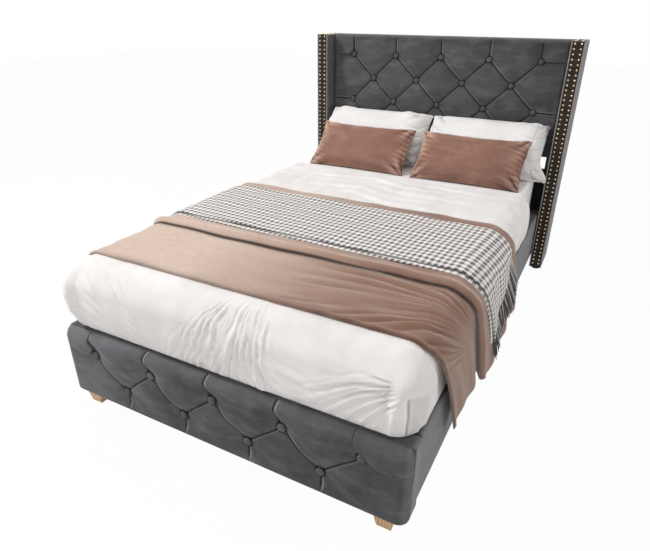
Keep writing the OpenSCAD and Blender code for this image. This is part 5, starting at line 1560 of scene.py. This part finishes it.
class Stage(bpy.types.Operator):
    """Sets up the floor, the lights, the world and the camera at the photograph's place"""

    bl_idname = "bed.stage"
    bl_label = "Stage, Light and Camera"

    def execute(self, context):
        scene = context.scene
        self.floor()
        self.world(scene)
        key = context.scene.bed.light
        for name, place, target, size, share in LAMPS:
            self.lamp(name, place, target, size, key * share)
        self.camera(scene)
        scene.view_settings.view_transform = "Standard"
        return {"FINISHED"}

    def floor(self):
        """Pale floor. The camera sees most of it as plain white, with a breath of shadow."""
        n = 41
        line = np.linspace(-FLOOR_SIZE, FLOOR_SIZE, n) * 1000
        xx, yy = np.meshgrid(line, line, indexing="ij")
        grid = np.stack([xx, yy + HALF_LENGTH, 0 * xx - 0.4], axis=-1)
        mesh = bpy.data.meshes.new("floor")
        mesh.from_pydata(to_row(grid).reshape(-1, 3).tolist(), [], grid_quads(n, n).tolist())
        floor = bpy.data.objects.new("floor", mesh)
        bpy.context.scene.collection.objects.link(floor)
        g = Graph("floor_white", roughness=0.9, specular=0.1)
        tone = g.stretch(g.noise(1.2, detail=2.0), 0.3, 0.7, 0.0, 1.0)
        floor.data.materials.append(g.finish(g.blend(tone, (0.86, 0.86, 0.865, 1), (0.9, 0.9, 0.9, 1))))
        glow = g.new("ShaderNodeEmission", {})
        mix_shaders(g.tree, g.math("MULTIPLY", seen(g.tree), 0.97), g.shader, glow)

    def world(self, scene):
        """Pale grey light from all round, and pure white where the camera looks past."""
        world = bpy.data.worlds.new("studio")
        scene.world = world
        world.use_nodes = True
        tree = world.node_tree
        tree.nodes.clear()
        tree.nodes.new("ShaderNodeOutputWorld")
        skies = []
        for colour, strength in (((1.0, 0.995, 0.985, 1), 0.46), (WHITE, 1.0)):
            sky = tree.nodes.new("ShaderNodeBackground")
            sky.inputs["Color"].default_value = colour
            sky.inputs["Strength"].default_value = strength
            skies.append(sky)
        mix_shaders(tree, seen(tree), *skies)

    def lamp(self, name, place, target, size, power):
        """Round lamp at a place, turned to its target."""
        data = bpy.data.lights.new(name, "AREA")
        data.shape = "DISK"
        data.size = size
        data.energy = power
        lamp = bpy.data.objects.new(name, data)
        bpy.context.scene.collection.objects.link(lamp)
        lamp.location = place
        lamp.rotation_euler = (Vector(target) - Vector(place)).to_track_quat("-Z", "Y").to_euler()

    def camera(self, scene):
        """Camera where the photograph was taken, from its solved perspective."""
        yaw, pitch, roll = np.radians(CAMERA_TURN)
        d = np.array([-math.sin(yaw) * math.cos(pitch), math.cos(yaw) * math.cos(pitch), -math.sin(pitch)])
        r = np.array([math.cos(yaw), math.sin(yaw), 0.0])
        u = np.cross(r, d)
        right = math.cos(roll) * r + math.sin(roll) * u
        up = -math.sin(roll) * r + math.cos(roll) * u
        data = bpy.data.cameras.new("photo_camera")
        data.sensor_fit = "HORIZONTAL"
        data.sensor_width = SENSOR
        data.lens = PHOTO_FOCAL / PHOTO_WIDTH * SENSOR
        data.clip_end = 60.0
        camera = bpy.data.objects.new("photo_camera", data)
        scene.collection.objects.link(camera)
        camera.matrix_world = Matrix(np.vstack([np.column_stack([right, up, -d, CAMERA_PLACE]), [0, 0, 0, 1]]).tolist())
        scene.camera = camera


def seen(tree):
    """1 for rays from the camera and for those that it sees by reflection or through glass."""
    path = tree.nodes.new("ShaderNodeLightPath")
    total = path.outputs["Is Camera Ray"]
    for word in ("Is Glossy Ray", "Is Transmission Ray"):
        node = tree.nodes.new("ShaderNodeMath")
        node.operation = "MAXIMUM"
        tree.links.new(total, node.inputs[0])
        tree.links.new(path.outputs[word], node.inputs[1])
        total = node.outputs[0]
    return total


def mix_shaders(tree, factor, a, b):
    """Links the output to shader a where the factor is 0 and to b where it is 1."""
    mixer = tree.nodes.new("ShaderNodeMixShader")
    for value, socket in zip((factor, a.outputs[0], b.outputs[0]), mixer.inputs):
        tree.links.new(value, socket)
    out = next(node for node in tree.nodes if node.type.startswith("OUTPUT"))
    tree.links.new(mixer.outputs[0], out.inputs["Surface"])


# ---------------------------------------------------------------- add-on

OPERATORS = (HeadboardPad, Wings, Footboard, Rails, Timber, Mattress, Duvet, Blanket, Throw, Pillows, Cushions, Stage)


class BedPanel(bpy.types.Panel):
    """Buttons that build the bed"""

    bl_idname = "VIEW3D_PT_bed"
    bl_label = "Upholstered Bed"
    bl_space_type = "VIEW_3D"
    bl_region_type = "UI"
    bl_category = "Bed"

    def draw(self, context):
        layout = self.layout
        for name in ("head_tuft", "foot_tuft", "cell", "wrinkle", "strands", "fill", "light"):
            layout.prop(context.scene.bed, name)
        for kind in OPERATORS:
            layout.operator(kind.bl_idname)


CLASSES = (BedSettings, *OPERATORS, BedPanel)


def register():
    """Makes the settings, the operators and the panel known to Blender."""
    for kind in CLASSES:
        bpy.utils.register_class(kind)
    bpy.types.Scene.bed = PointerProperty(type=BedSettings)


def unregister():
    """Takes them away again."""
    del bpy.types.Scene.bed
    for kind in reversed(CLASSES):
        bpy.utils.unregister_class(kind)


def main():
    """Builds all pieces in order."""
    register()
    for kind in OPERATORS:
        family, name = kind.bl_idname.split(".")
        result = getattr(getattr(bpy.ops, family), name)()
        if result != {"FINISHED"}:
            raise RuntimeError(f"{kind.bl_label} wasn't built")


if __name__ == "__main__":
    main()
